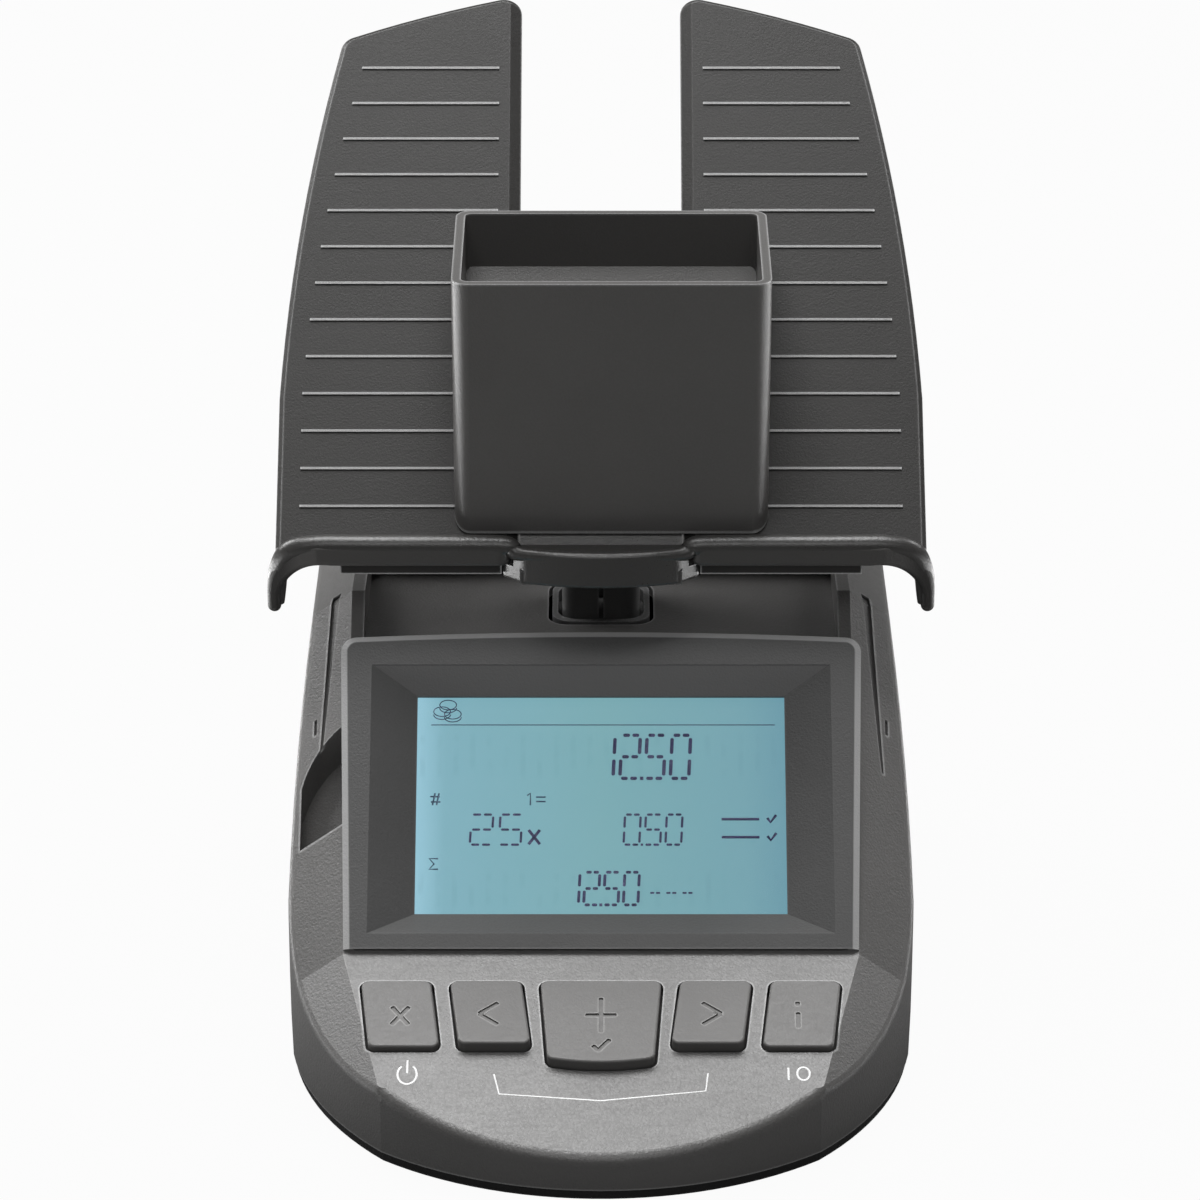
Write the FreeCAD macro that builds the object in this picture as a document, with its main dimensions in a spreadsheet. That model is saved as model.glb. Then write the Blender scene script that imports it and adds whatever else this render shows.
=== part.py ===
import FreeCAD, Part
import os
import re

import Sketcher

# Counting scale: a housing with a display and five keys, a weighing post on a load cell,
# a removable note tray with two raked wings, and a loose coin cup in the tray's pocket.
# Driving dimensions, in millimetres and degrees.
SIZES = (
    ("front_reach", 120.29, "origin to the front of the base"),
    ("wall", 2.5, "side walls of the housing"),
    ("roof_drop", 3.2, "upright thickness of the housing's sloping roof"),
    ("run_gap", 0.4, "clearance round moving pieces"),
    ("fit_gap", 0.15, "clearance of seated pieces and screws"),
    ("base_width", 155.4, "widest point of the base"),
    ("base_depth", 225, "front to rear of the base"),
    ("rear_corner", 22, "plan radius of the rear corners"),
    ("nose_depth", 18.6, "corners of the base's front behind the middle of it"),
    ("nose_turn", 42, "heading of the wall at such a corner"),
    ("bow_inset", 11, "walls behind those corners, inside the widest point where they bow most"),
    ("bow_depth", 38.3, "that place from the base front"),
    ("bow_turn", 61, "heading of the wall there"),
    ("side_start", 82, "start of the straight sides from the base front"),
    ("belly_height", 35, "level at which the side walls are widest"),
    ("belly_rise", 90, "height over which their lean is given"),
    ("belly_fall", 10.4, "lean of each side wall over that height"),
    ("housing_height", 140, "height of the drafted blank, above every roof"),
    ("foot_height", 2, "feet below the pan"),
    ("foot_width", 14, "diameter of a foot"),
    ("foot_socket", 0.8, "depth of a foot in the pan"),
    ("foot_spread", 110, "feet, side to side"),
    ("foot_front", 46, "front feet from the base front"),
    ("foot_rear", 195, "rear feet from the base front"),
    ("pan_floor", 2.5, "floor of the pan"),
    ("pan_inset", 0.6, "pan edge inside the housing wall"),
    ("tongue_height", 1.8, "tongue of the pan inside the housing"),
    ("tongue_wall", 1.6, "thickness of that tongue"),
    ("panel_back", 59, "rear edge of the key panel from the base front"),
    ("panel_height", 37, "rear edge of the key panel above the table"),
    ("panel_slope", 22, "slope of the key panel"),
    ("crease_half", 63.3, "half width of the key panel at its rear edge"),
    ("crease_splay", 14.5, "angle at which the panel narrows to the front"),
    ("shoulder_slope", 35, "fall of the shoulders beside the panel"),
    ("cheek_slope", 38, "slope of the cheeks beside the display"),
    ("cheek_back", 139, "end of the cheek slope from the base front"),
    ("rear_drop", 8, "fall of the top towards the rear"),
    ("roof_round", 3, "rounding where the roof meets the side walls"),
    ("crease_relief", 1, "inner crease outside the outer one"),
    ("groove_width", 0.5, "parting groove of the cheeks, at its front"),
    ("groove_rear_width", 2.2, "the same at its rear"),
    ("groove_depth", 1, "depth of that groove"),
    ("groove_front", 102, "front of the groove from the base front"),
    ("groove_rear", 143, "rear of the groove"),
    ("groove_front_half", 70.3, "groove from the middle, at its front"),
    ("groove_rear_half", 66.2, "groove from the middle, at its rear"),
    ("slit_half", 71.5, "short slit beside the groove, from the middle"),
    ("slit_front", 111.2, "that slit from the base front"),
    ("slit_length", 3.4, "length of that slit"),
    ("slit_width", 0.7, "width of that slit"),
    ("deck_height", 88, "floor of the well behind the display"),
    ("well_front", 124, "front of the well"),
    ("well_back", 177, "rear of the well"),
    ("well_width", 120, "width of the well"),
    ("scoop_front", 87.5, "front of the finger pocket in the left cheek"),
    ("scoop_back", 109.5, "rear of the finger pocket"),
    ("scoop_depth", 10, "depth of the finger pocket"),
    ("scoop_inner", 63, "inner wall of the pocket from the middle"),
    ("scoop_outer", 75, "outer wall of the pocket from the middle"),
    ("scoop_round", 8.5, "rounding of the pocket's outer rear corner"),
    ("screen_slope", 43, "slope of the display"),
    ("screen_lift", 1.5, "lower edge of the display above the roof"),
    ("screen_width", 126.4, "width of the display frame at its lower edge"),
    ("screen_flare", 2.2, "widening of the frame on each side, up to its upper corners"),
    ("screen_length", 84.6, "length of the display frame up its slope, at the middle"),
    ("screen_crown", 1.6, "arch of the frame's upper edge"),
    ("screen_round", 4, "corner radius of the display frame"),
    ("screen_edge", 1.8, "bevel round the frame's face, across it"),
    ("screen_edge_depth", 0.8, "depth of that bevel"),
    ("screen_depth", 11, "depth of the display box behind its face"),
    ("screen_margin", 4.5, "flange of the frame round the display box"),
    ("facet_border", 5.7, "face of the frame beside the sloping facet, at the lower edge"),
    ("facet_border_top", 7.5, "face of the frame above that facet, at its sides"),
    ("facet_run", 11.5, "width of the facet beside the window"),
    ("facet_run_end", 6.75, "width of the facet above and below the window"),
    ("facet_low", 4, "facet above the frame's lower edge"),
    ("facet_depth", 4.8, "depth of the window below the face"),
    ("window_ledge", 4, "ledge behind the window opening"),
    ("window_thick", 1.2, "thickness of the clear window"),
    ("glass_thick", 1.6, "thickness of the display glass"),
    ("ledge_thick", 0.8, "thickness of the window ledge"),
    ("board_thick", 1.6, "thickness of the circuit boards"),
    ("plus_width", 29.6, "middle key, upper edge"),
    ("plus_length", 25.7, "middle key, along the slope"),
    ("plus_bow", 1.4, "bow of the middle key's lower edge"),
    ("plus_slant", 1.9, "narrowing of the middle key on each side"),
    ("side_key_width", 17.4, "keys beside the middle key"),
    ("end_key_width", 17.1, "outermost keys"),
    ("key_spacing", 4.6, "space between keys"),
    ("key_top", 9.3, "keys below the panel's rear edge"),
    ("key_length", 21.2, "keys along the slope"),
    ("key_slant", 2.5, "inward lean of the outer keys"),
    ("key_rise", 3, "lower edge of the inner keys above the panel"),
    ("end_key_rise", 1.6, "lower edge of the outer keys above the panel"),
    ("key_rise_back", 1.1, "upper edge of all keys above the panel"),
    ("key_edge", 0.6, "rounding of the key tops"),
    ("key_round", 1.8, "plan radius of the key corners"),
    ("key_gap", 0.6, "gap round a key in the panel"),
    ("key_flange", 1.3, "collar that keeps a key in the panel"),
    ("key_flange_thick", 1, "thickness of that collar"),
    ("key_travel", 1.2, "press of a key"),
    ("dome_width", 9, "rubber dome under a key"),
    ("dome_height", 1.5, "height of that dome"),
    ("mat_thick", 1, "rubber key mat"),
    ("board_length", 39, "main board along the slope"),
    ("sounder_width", 12, "sounder on the main board"),
    ("sounder_height", 5, "height of the sounder"),
    ("board_low", 2, "main board below the panel's rear edge"),
    ("board_screw_inset", 4, "board screws from the board's corners"),
    ("peg_width", 5.5, "screw pegs of boards"),
    ("small_screw", 2.4, "shank of a board screw"),
    ("small_head", 4.6, "head of a board screw"),
    ("small_head_height", 1.6, "height of a board screw's head"),
    ("post_back", 157, "centre of the weighing post from the base front"),
    ("post_width", 20, "side of the weighing post"),
    ("post_round", 5, "corner radius of the post"),
    ("post_slit", 1.2, "slit down the post"),
    ("post_slit_depth", 30, "depth of that slit from the top"),
    ("post_top", 114, "top of the post, where the tray sits"),
    ("post_foot", 38, "side of the post's foot plate"),
    ("post_foot_thick", 4, "thickness of the post's foot plate"),
    ("post_opening", 27, "opening of the deck round the post"),
    ("collar_width", 25, "collar of the post in that opening"),
    ("collar_wall", 1.5, "wall of that collar"),
    ("collar_height", 5, "height of that collar"),
    ("collar_web", 1.6, "web between the collar and the post"),
    ("collar_proud", 0.5, "collar above the deck"),
    ("cell_length", 80, "load cell"),
    ("cell_side", 12.7, "load cell section"),
    ("cell_back", 197, "fixed end of the load cell from the base front"),
    ("cell_seat", 20, "length of each clamped end of the load cell"),
    ("cell_boss_top", 12, "boss under the load cell"),
    ("cell_spacer", 3, "spacer plates of the load cell"),
    ("cell_hole", 8.6, "bores of the load cell's bending zone"),
    ("cell_hole_pitch", 14, "distance between those bores"),
    ("cell_slot", 3, "slot between those bores"),
    ("bracket_width", 42, "bracket under the post"),
    ("bracket_thick", 3.5, "thickness of that bracket"),
    ("cell_screw", 4, "load cell screws"),
    ("cell_screw_head", 7, "heads of those screws"),
    ("cell_screw_pitch", 10, "distance between those screws"),
    ("stop_gap", 0.6, "overload stop below the load cell"),
    ("stop_boss", 10, "boss of the overload stop"),
    ("case_screw", 3, "housing screws"),
    ("case_screw_head", 6, "heads of the housing screws"),
    ("case_screw_length", 20, "housing screws, under the head"),
    ("case_boss", 8, "screw bosses of the housing"),
    ("boss_spread_front", 134, "front bosses, side to side"),
    ("boss_front", 66, "front bosses from the base front"),
    ("boss_spread_rear", 122, "rear bosses, side to side"),
    ("boss_rear", 206, "rear bosses from the base front"),
    ("boss_seam", 12, "level at which housing bosses meet pan bosses"),
    ("bay_front", 51, "battery bay from the base front"),
    ("battery_pitch", 14.6, "distance between battery cells"),
    ("battery_width", 14.2, "diameter of a battery cell"),
    ("battery_length", 50, "length of a battery cell"),
    ("contact_gap", 3, "room for the contacts at each end of the cells"),
    ("contact_thick", 0.8, "contact plates"),
    ("bay_wall", 1.8, "walls of the battery bay"),
    ("door_rebate", 1.6, "rebate of the battery door"),
    ("door_thick", 2, "battery door"),
    ("port_height", 10, "port board above the table"),
    ("port_reach", 18, "depth of the port board"),
    ("port_width", 56, "width of the port board"),
    ("jack_offset", -28, "power jack from the middle"),
    ("jack_width", 9, "power jack"),
    ("jack_height", 11, "height of the power jack"),
    ("jack_bore", 6.4, "bore of the power jack"),
    ("data_offset", -8, "data port from the middle"),
    ("data_width", 13, "data port"),
    ("data_height", 11, "height of the data port"),
    ("port_depth", 13, "depth of the port bodies"),
    ("tray_front", 123, "foot of the note slope from the base front"),
    ("tray_height", 118, "foot of the note slope above the table"),
    ("wing_slope", 43, "slope of the note wings"),
    ("wing_thick", 2.8, "thickness of a wing"),
    ("wing_half", 81.5, "half width of the wings at the foot"),
    ("wing_straight", 42, "parallel part of the wings along the slope"),
    ("wing_tip_half", 67.3, "half width of the wings at the outer rear corner"),
    ("wing_outer_length", 145.8, "outer rear corner along the slope"),
    ("wing_length", 159.3, "inner rear corner along the slope"),
    ("wing_bow", 2.4, "bow of the outer edge"),
    ("wing_rear_bow", 1, "bow of the rear edge"),
    ("wing_round", 4.8, "rounding of the wing corners"),
    ("wing_slot", 41.4, "slot between the wings"),
    ("wing_edge", 1.2, "bevel round a wing"),
    ("slot_edge", 3, "sloping border of a wing beside the slot"),
    ("rib_first", 11.4, "first line of the wings along the slope"),
    ("rib_pitch", 10.46, "distance between lines"),
    ("rib_width", 0.6, "width of a line"),
    ("rib_height", 0.4, "height of a line"),
    ("rib_margin", 5.8, "line ends inside the wing's edges"),
    ("lip_front", 119, "front of the note ledge from the base front"),
    ("lip_depth", 5.7, "depth of the note ledge"),
    ("lip_top", 120, "top of the note ledge above the table"),
    ("lip_thick", 5.6, "height of the note ledge"),
    ("lip_inner", 22.3, "inner end of the ledge from the middle"),
    ("lip_knee", 71, "start of the drooping end"),
    ("lip_reach", 83.7, "outer end of the ledge from the middle"),
    ("lip_tip", 18.9, "tip of the drooping end below the ledge's top"),
    ("hook_thick", 3.4, "thickness of the drooping end"),
    ("lip_round", 1.3, "rounding of the ledge"),
    ("lip_corner", 3.5, "plan radius of the ledge's inner end and of its knee"),
    ("lip_turn", 3, "outer end of the ledge behind its front"),
    ("strip_height", 3, "strip under the ledge"),
    ("hub_front", 115.3, "middle of the hub's front from the base front"),
    ("hub_bulge", 3, "bulge of the hub's front"),
    ("hub_width", 49, "width of the hub at its rear"),
    ("hub_nose", 39, "width of the hub at its front"),
    ("hub_flank", 4.5, "depth of the hub's splayed flanks"),
    ("hub_top", 119, "top of the hub"),
    ("hub_height", 9, "height of the hub's front"),
    ("hub_round", 4, "rounding of the hub's front corners"),
    ("hub_edge", 1, "rounding of the hub's upper and lower edges"),
    ("cradle_wall", 2.2, "walls of the cradle between the wings"),
    ("flange_width", 28, "width of the flange under a wing"),
    ("flange_front", 6, "start of that flange along the slope"),
    ("flange_back", 60, "end of that flange along the slope"),
    ("flange_thick", 2.4, "thickness of that flange"),
    ("wing_screw", 3, "wing screws"),
    ("wing_screw_head", 6, "heads of the wing screws"),
    ("socket_depth", 8, "socket round the post under the cradle's floor"),
    ("socket_wall", 3, "wall of that socket"),
    ("cup_width", 79, "coin cup at the rim"),
    ("cup_depth", 55, "front to rear of the cup at the rim"),
    ("cup_height", 71, "rim of the cup above the top of the cradle's floor"),
    ("cup_taper", 0.2, "lean of the cup's walls"),
    ("cup_wall", 2.4, "wall of the cup"),
    ("cup_floor", 2.4, "floor of the cup"),
    ("cup_round", 4, "corner radius of the cup"),
    ("cup_shift", 2.6, "place of the loose cup on the slope, to the right of the middle"),
)
RIBS = 13
CELLS = 4

# Levels and places that several pieces share.
FLOOR = "(foot_height + pan_floor)"
HEAD_SEAT = "(%s - fit_gap)" % FLOOR
HEAD_HEIGHT = "(pan_floor - 2 * fit_gap)"
CHEEK_TOP = "(panel_height + (cheek_back - panel_back) * tan(cheek_slope))"
PANEL_UNDER = "(roof_drop * cos(panel_slope))"
KEY_FOOT = "(%s + fit_gap + key_flange_thick)" % PANEL_UNDER
MAT_TOP = "(%s + key_travel + fit_gap + dome_height)" % KEY_FOOT
BOARD_TOP = "(%s + mat_thick)" % MAT_TOP
PLUS_EDGE = "(plus_width / 2)"
SIDE_INNER = "(%s + key_spacing)" % PLUS_EDGE
SIDE_OUTER = "(%s + side_key_width)" % SIDE_INNER
END_INNER = "(%s + key_spacing)" % SIDE_OUTER
END_OUTER = "(%s + end_key_width)" % END_INNER
BOX_WIDTH = "(screen_width - 2 * screen_margin)"
BOX_LOW = "screen_margin"
BOX_HIGH = "(screen_length - screen_crown - screen_margin)"
BOX_RUN = "(%s - %s)" % (BOX_HIGH, BOX_LOW)
FACET_WIDTH = "(screen_width - 2 * facet_border)"
FACET_LENGTH = "(screen_length - screen_crown - facet_low - facet_border_top)"
WINDOW_WIDTH = "(%s - 2 * facet_run)" % FACET_WIDTH
WINDOW_LENGTH = "(%s - 2 * facet_run_end)" % FACET_LENGTH
WINDOW_LOW = "(facet_low + facet_run_end)"
WINDOW_TOP = "(facet_depth + ledge_thick)"
CELL_LOW = "(cell_boss_top + cell_spacer)"
CELL_TOP = "(%s + cell_side)" % CELL_LOW
BRACKET_LOW = "(%s + cell_spacer)" % CELL_TOP
BRACKET_TOP = "(%s + bracket_thick)" % BRACKET_LOW
FREE_END = "(cell_back - cell_length)"
POST_LOW = "(%s + post_foot_thick)" % BRACKET_TOP
BAY_MIDDLE = "(bay_front + door_rebate + battery_pitch * %d / 2)" % CELLS
BAY_LENGTH = "(battery_pitch * %d + run_gap)" % CELLS
BAY_WIDTH = "(battery_length + 2 * contact_gap)"
BAY_TOP = "(%s + battery_width + run_gap)" % FLOOR
PORT_TOP = "(port_height + board_thick)"
CUP_FRONT = "(lip_front + lip_depth + run_gap)"
CRADLE_FLOOR = "(post_top + cradle_wall)"
CRADLE_WIDTH = "(wing_slot - 2 * run_gap)"
CRADLE_BACK = "(post_back + post_width / 2 + run_gap + socket_wall)"
NOSE_HALF = "(crease_half - (panel_back - nose_depth) * tan(crease_splay))"
LEDGE_LOW = "(lip_top - lip_thick)"

doc = FreeCAD.newDocument("counting_scale")
sheet = doc.addObject("Spreadsheet::Sheet", "Sizes")
for row, (alias, size, note) in enumerate(SIZES, 1):
    sheet.set("A%d" % row, note)
    sheet.set("B%d" % row, str(size))
    sheet.setAlias("B%d" % row, alias)
doc.recompute()

ALIASES = re.compile(r"\b(%s)\b" % "|".join(alias for alias, size, note in SIZES))
PARTS = []


def bound(text):
    """An expression on the sheet's cells, from plain words."""
    return ALIASES.sub(r"Sizes.\1", str(text))


def value(text):
    """The number that an expression gives."""
    return float(sheet.evalExpression(bound(text)))


class Frame:
    """A place that pieces are laid out in: x right, y rearward or up a slope, z out of it."""

    def __init__(self, y="0", z="0", slope="0"):
        self.y = "(%s - front_reach)" % y
        self.z = "(%s)" % z
        self.slope = slope

    def settle(self, piece, x="0", y="0", z="0", tilt="0"):
        """Binds a piece's placement to a point of this frame and a tilt about X."""
        turn = FreeCAD.Rotation(FreeCAD.Vector(1, 0, 0), 30)
        piece.Placement = FreeCAD.Placement(FreeCAD.Vector(), turn)
        across = "%s + (%s) * cos(%s) - (%s) * sin(%s)" % (self.y, y, self.slope, z, self.slope)
        upward = "%s + (%s) * sin(%s) + (%s) * cos(%s)" % (self.z, y, self.slope, z, self.slope)
        piece.setExpression("Placement.Base.x", bound(x))
        piece.setExpression("Placement.Base.y", bound(across))
        piece.setExpression("Placement.Base.z", bound(upward))
        piece.setExpression("Placement.Rotation.Angle", bound("%s + (%s)" % (self.slope, tilt)))


BASE = Frame()
PANEL = Frame("panel_back", "panel_height", "panel_slope")
SCREEN = Frame("panel_back", "panel_height + screen_lift", "screen_slope")
TRAY = Frame("tray_front", "tray_height", "wing_slope")


def box(frame, x, y, z, width, depth, height):
    """A block with its lowest corner at a point of a frame."""
    block = doc.addObject("Part::Box", "Block")
    block.setExpression("Length", bound(width))
    block.setExpression("Width", bound(depth))
    block.setExpression("Height", bound(height))
    frame.settle(block, x, y, z)
    return block


def middle_box(frame, y, z, width, depth, height, x="0"):
    """A block centred from side to side."""
    return box(frame, "(%s) - (%s) / 2" % (x, width), y, z, width, depth, height)


def cylinder(frame, x, y, z, width, height, along="z"):
    """A round bar of a given diameter along a frame's z or y."""
    bar = doc.addObject("Part::Cylinder", "Bar")
    bar.setExpression("Radius", bound("(%s) / 2" % width))
    bar.setExpression("Height", bound(height))
    frame.settle(bar, x, y, z, "0" if along == "z" else "-90")
    return bar


def cross_bar(frame, x, y, z, width, length):
    """A round bar from side to side, starting at a point."""
    bar = doc.addObject("Part::Cylinder", "CrossBar")
    bar.setExpression("Radius", bound("(%s) / 2" % width))
    bar.setExpression("Height", bound(length))
    frame.settle(bar, x, y, z)
    bar.setExpression("Placement.Rotation.Angle", None)
    bar.Placement.Rotation = FreeCAD.Rotation(FreeCAD.Vector(0, 1, 0), 90)
    return bar


def cone(frame, x, y, z, low, high, height):
    """A round taper along a frame's z."""
    taper = doc.addObject("Part::Cone", "Taper")
    taper.setExpression("Radius1", bound("(%s) / 2" % low))
    taper.setExpression("Radius2", bound("(%s) / 2" % high))
    taper.setExpression("Height", bound(height))
    frame.settle(taper, x, y, z)
    return taper


def fuse(*solids):
    """One solid from several."""
    whole = doc.addObject("Part::MultiFuse", "Whole")
    whole.Shapes = list(solids)
    return whole


def common(first, second):
    """What two solids share."""
    share = doc.addObject("Part::MultiCommon", "Share")
    share.Shapes = [first, second]
    return share


def cut(base, *tools):
    """A solid less its tools."""
    rest = doc.addObject("Part::Cut", "Rest")
    rest.Base = base
    rest.Tool = tools[0] if len(tools) == 1 else fuse(*tools)
    return rest


def mirrored(solid):
    """The same solid on the other side."""
    twin = doc.addObject("Part::Mirroring", "Twin")
    twin.Source = solid
    twin.Normal = FreeCAD.Vector(1, 0, 0)
    return twin


def group(solids):
    """Separate solids kept as one group."""
    bundle = doc.addObject("Part::Compound", "Bundle")
    bundle.Links = list(solids)
    return bundle


def part(label, solid):
    """Names a finished sub-part."""
    solid.Label = label
    PARTS.append(solid)
    return solid


def draw(sketch, outline):
    """Draws a closed outline of lines and three-point arcs, each point held by expressions.

    An entry is (x, y) for a corner, or (x, y, "arc") for a point that the edge between its
    neighbours bends through.
    """
    corners = [entry for entry in outline if len(entry) == 2]
    places = [FreeCAD.Vector(value(x), value(y), 0) for x, y in corners]
    bends = {}
    seen = 0
    for entry in outline:
        if len(entry) == 2:
            seen += 1
        else:
            bends[seen - 1] = entry[:2]
    ends = []
    for index, start in enumerate(places):
        stop = places[(index + 1) % len(places)]
        if index not in bends:
            edge = sketch.addGeometry(Part.LineSegment(start, stop), False)
            ends.append((edge, 1, 2))
            continue
        via = FreeCAD.Vector(value(bends[index][0]), value(bends[index][1]), 0)
        edge = sketch.addGeometry(Part.Arc(start, via, stop), False)
        turns_left = (via - start).cross(stop - via).z > 0
        ends.append((edge, 1, 2) if turns_left else (edge, 2, 1))
    for index, (edge, start, stop) in enumerate(ends):
        after, after_start, after_stop = ends[(index + 1) % len(ends)]
        sketch.addConstraint(Sketcher.Constraint("Coincident", edge, stop, after, after_start))
    for (edge, start, stop), corner in zip(ends, corners):
        hold(sketch, edge, start, corner)
    for index, via in bends.items():
        dot = sketch.addGeometry(Part.Point(FreeCAD.Vector(value(via[0]), value(via[1]), 0)), True)
        hold(sketch, dot, 1, via)
        sketch.addConstraint(Sketcher.Constraint("PointOnObject", dot, 1, ends[index][0]))


def hold(sketch, edge, end, place):
    """Holds one point of a sketch at two expressions from its origin."""
    for kind, text in zip(("DistanceX", "DistanceY"), place):
        size = value(text)
        rule = sketch.addConstraint(Sketcher.Constraint(kind, -1, 1, edge, end, size))
        sketch.setExpression("Constraints[%d]" % rule, bound(text))


def sketch_on(body, plane, outline, offset="0"):
    """A sketch on one of a body's own planes, moved along that plane's normal."""
    sketch = body.newObject("Sketcher::SketchObject", "Outline")
    support = [feature for feature in body.Origin.OriginFeatures if feature.Role == plane][0]
    sketch.AttachmentSupport = (support, [""])
    sketch.MapMode = "FlatFace"
    sketch.setExpression("AttachmentOffset.Base.z", bound(offset))
    draw(sketch, outline)
    return sketch


def pad(body, sketch, length, taper="0"):
    """Raises a sketch by a length, its sides leaning in by a taper."""
    feature = body.newObject("PartDesign::Pad", "Pad")
    feature.Profile = sketch
    feature.setExpression("Length", bound(length))
    feature.setExpression("TaperAngle", bound("-(%s)" % taper))
    return feature


def new_body(frame=BASE):
    """An empty body that lies in a frame."""
    body = doc.addObject("PartDesign::Body", "Body")
    frame.settle(body)
    return body


def prism(frame, plane, outline, offset, length, taper="0"):
    """One outline raised to a solid."""
    body = new_body(frame)
    pad(body, sketch_on(body, plane, outline, offset), length, taper)
    return body


def soften(body, base, wanted, size, kind="Fillet"):
    """Rounds or bevels those edges of a feature that a test picks."""
    doc.recompute()
    edges = base.Shape.Edges
    names = ["Edge%d" % (number + 1) for number, edge in enumerate(edges) if wanted(edge)]
    feature = body.newObject("PartDesign::" + kind, "Softening")
    feature.Base = (base, names)
    feature.setExpression("Radius" if kind == "Fillet" else "Size", bound(size))
    return feature


def facing(face):
    """How far the middle of a face looks up."""
    first, last, low, high = face.ParameterRange
    return face.normalAt((first + last) / 2, (low + high) / 2).z


def touches(edge, faces):
    """True for an edge that one of the faces has."""
    return any(other.isSame(edge) for face in faces for other in face.Edges)


def soften_rim(solid, radius):
    """Rounds the edge where a roof meets the side walls."""
    body = doc.addObject("PartDesign::Body", "Softened")
    body.BaseFeature = solid
    doc.recompute()
    faces = body.Tip.Shape.Faces
    roofs = [face for face in faces if facing(face) > 0.35]
    walls = [face for face in faces if abs(facing(face)) < 0.35]
    soften(body, body.Tip, lambda edge: touches(edge, roofs) and touches(edge, walls), radius)
    return body


def upright(edge):
    """True for a straight edge along z."""
    start = edge.Vertexes[0].Point
    stop = edge.Vertexes[-1].Point
    return abs(start.x - stop.x) < 0.01 and abs(start.y - stop.y) < 0.01


def lengthwise(edge):
    """True for a straight edge along y."""
    start = edge.Vertexes[0].Point
    stop = edge.Vertexes[-1].Point
    return abs(start.x - stop.x) < 0.01 and abs(start.z - stop.z) < 0.01


def round_rect(width, low, high, radius, middle="0"):
    """A rectangle with round corners about a middle line, from low to high."""
    half = "((%s) / 2)" % width
    near = "(%s - %s)" % (half, radius)
    bend = "(%s - %s * (1 - cos(45)))" % (half, radius)
    lift = "(%s * (1 - cos(45)))" % radius
    left = middle + " - "
    right = middle + " + "
    return (
        (left + near, low),
        (right + near, low),
        (right + bend, "%s + %s" % (low, lift), "arc"),
        (right + half, "%s + %s" % (low, radius)),
        (right + half, "%s - %s" % (high, radius)),
        (right + bend, "%s - %s" % (high, lift), "arc"),
        (right + near, high),
        (left + near, high),
        (left + bend, "%s - %s" % (high, lift), "arc"),
        (left + half, "%s - %s" % (high, radius)),
        (left + half, "%s + %s" % (low, radius)),
        (left + bend, "%s + %s" % (low, lift), "arc"),
    )


def square(width):
    """A round-cornered square about the weighing post."""
    return round_rect(width, "(post_back - %s / 2)" % width, "(post_back + %s / 2)" % width, "post_round")


def plan_outline(inset):
    """Plan of the base: a bowed front, bowed front sides, straight sides and round rear corners."""
    half = "(base_width / 2 - (%s))" % inset
    nose = "(%s - (%s) * sin(nose_turn))" % (NOSE_HALF, inset)
    nose_back = "(nose_depth + (%s) * cos(nose_turn))" % inset
    bow = "(base_width / 2 - bow_inset - (%s) * sin(bow_turn))" % inset
    bow_back = "(bow_depth + (%s) * cos(bow_turn))" % inset
    rear = "(base_depth - (%s))" % inset
    radius = "(rear_corner - (%s))" % inset
    near = "(%s - %s)" % (half, radius)
    bend = "(%s + %s * cos(45))" % (near, radius)
    return (
        ("-" + nose, nose_back),
        ("0", inset, "arc"),
        (nose, nose_back),
        (bow, bow_back, "arc"),
        (half, "side_start"),
        (half, "%s - %s" % (rear, radius)),
        (bend, "%s - %s * (1 - cos(45))" % (rear, radius), "arc"),
        (near, rear),
        ("-" + near, rear),
        ("-" + bend, "%s - %s * (1 - cos(45))" % (rear, radius), "arc"),
        ("-" + half, "%s - %s" % (rear, radius)),
        ("-" + half, "side_start"),
        ("-" + bow, bow_back, "arc"),
    )


def belly(inset):
    """What lies between the bulging side walls, along the whole base."""
    half = "(base_width / 2 - (%s))" % inset
    slim = "(%s - belly_fall)" % half
    low = "(belly_height - belly_rise)"
    high = "(belly_height + belly_rise)"
    outline = (
        ("-" + slim, low),
        (slim, low),
        (half, "belly_height", "arc"),
        (slim, high),
        ("-" + slim, high),
        ("-" + half, "belly_height", "arc"),
    )
    return prism(BASE, "XZ_Plane", outline, "-(base_depth + wall)", "base_depth + 2 * wall")


def plan_prism(inset, low, height):
    """The plan raised between two levels, with bulging sides."""
    return common(prism(BASE, "XY_Plane", plan_outline(inset), low, height), belly(inset))


def shoulder(drop, start, crease, level, run, splay, rise):
    """What is cut away outside a crease, above a plane that falls to the side."""
    outer = "base_width"
    top = "(%s - (%s))" % (level, drop)
    sketch = doc.addObject("Sketcher::SketchObject", "Shoulder")
    BASE.settle(sketch, "0", start, "0", "90")
    fall = "(%s - (%s - %s) * tan(shoulder_slope))" % (top, outer, crease)
    high = "(%s + housing_height)" % top
    draw(sketch, ((crease, top), (outer, fall), (outer, high), (crease, high)))
    block = doc.addObject("Part::Extrusion", "ShoulderCut")
    block.Base = sketch
    block.DirMode = "Custom"
    block.Solid = True
    block.setExpression("Dir.x", bound(splay))
    block.setExpression("Dir.y", bound(run))
    block.setExpression("Dir.z", bound(rise))
    return block


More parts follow.
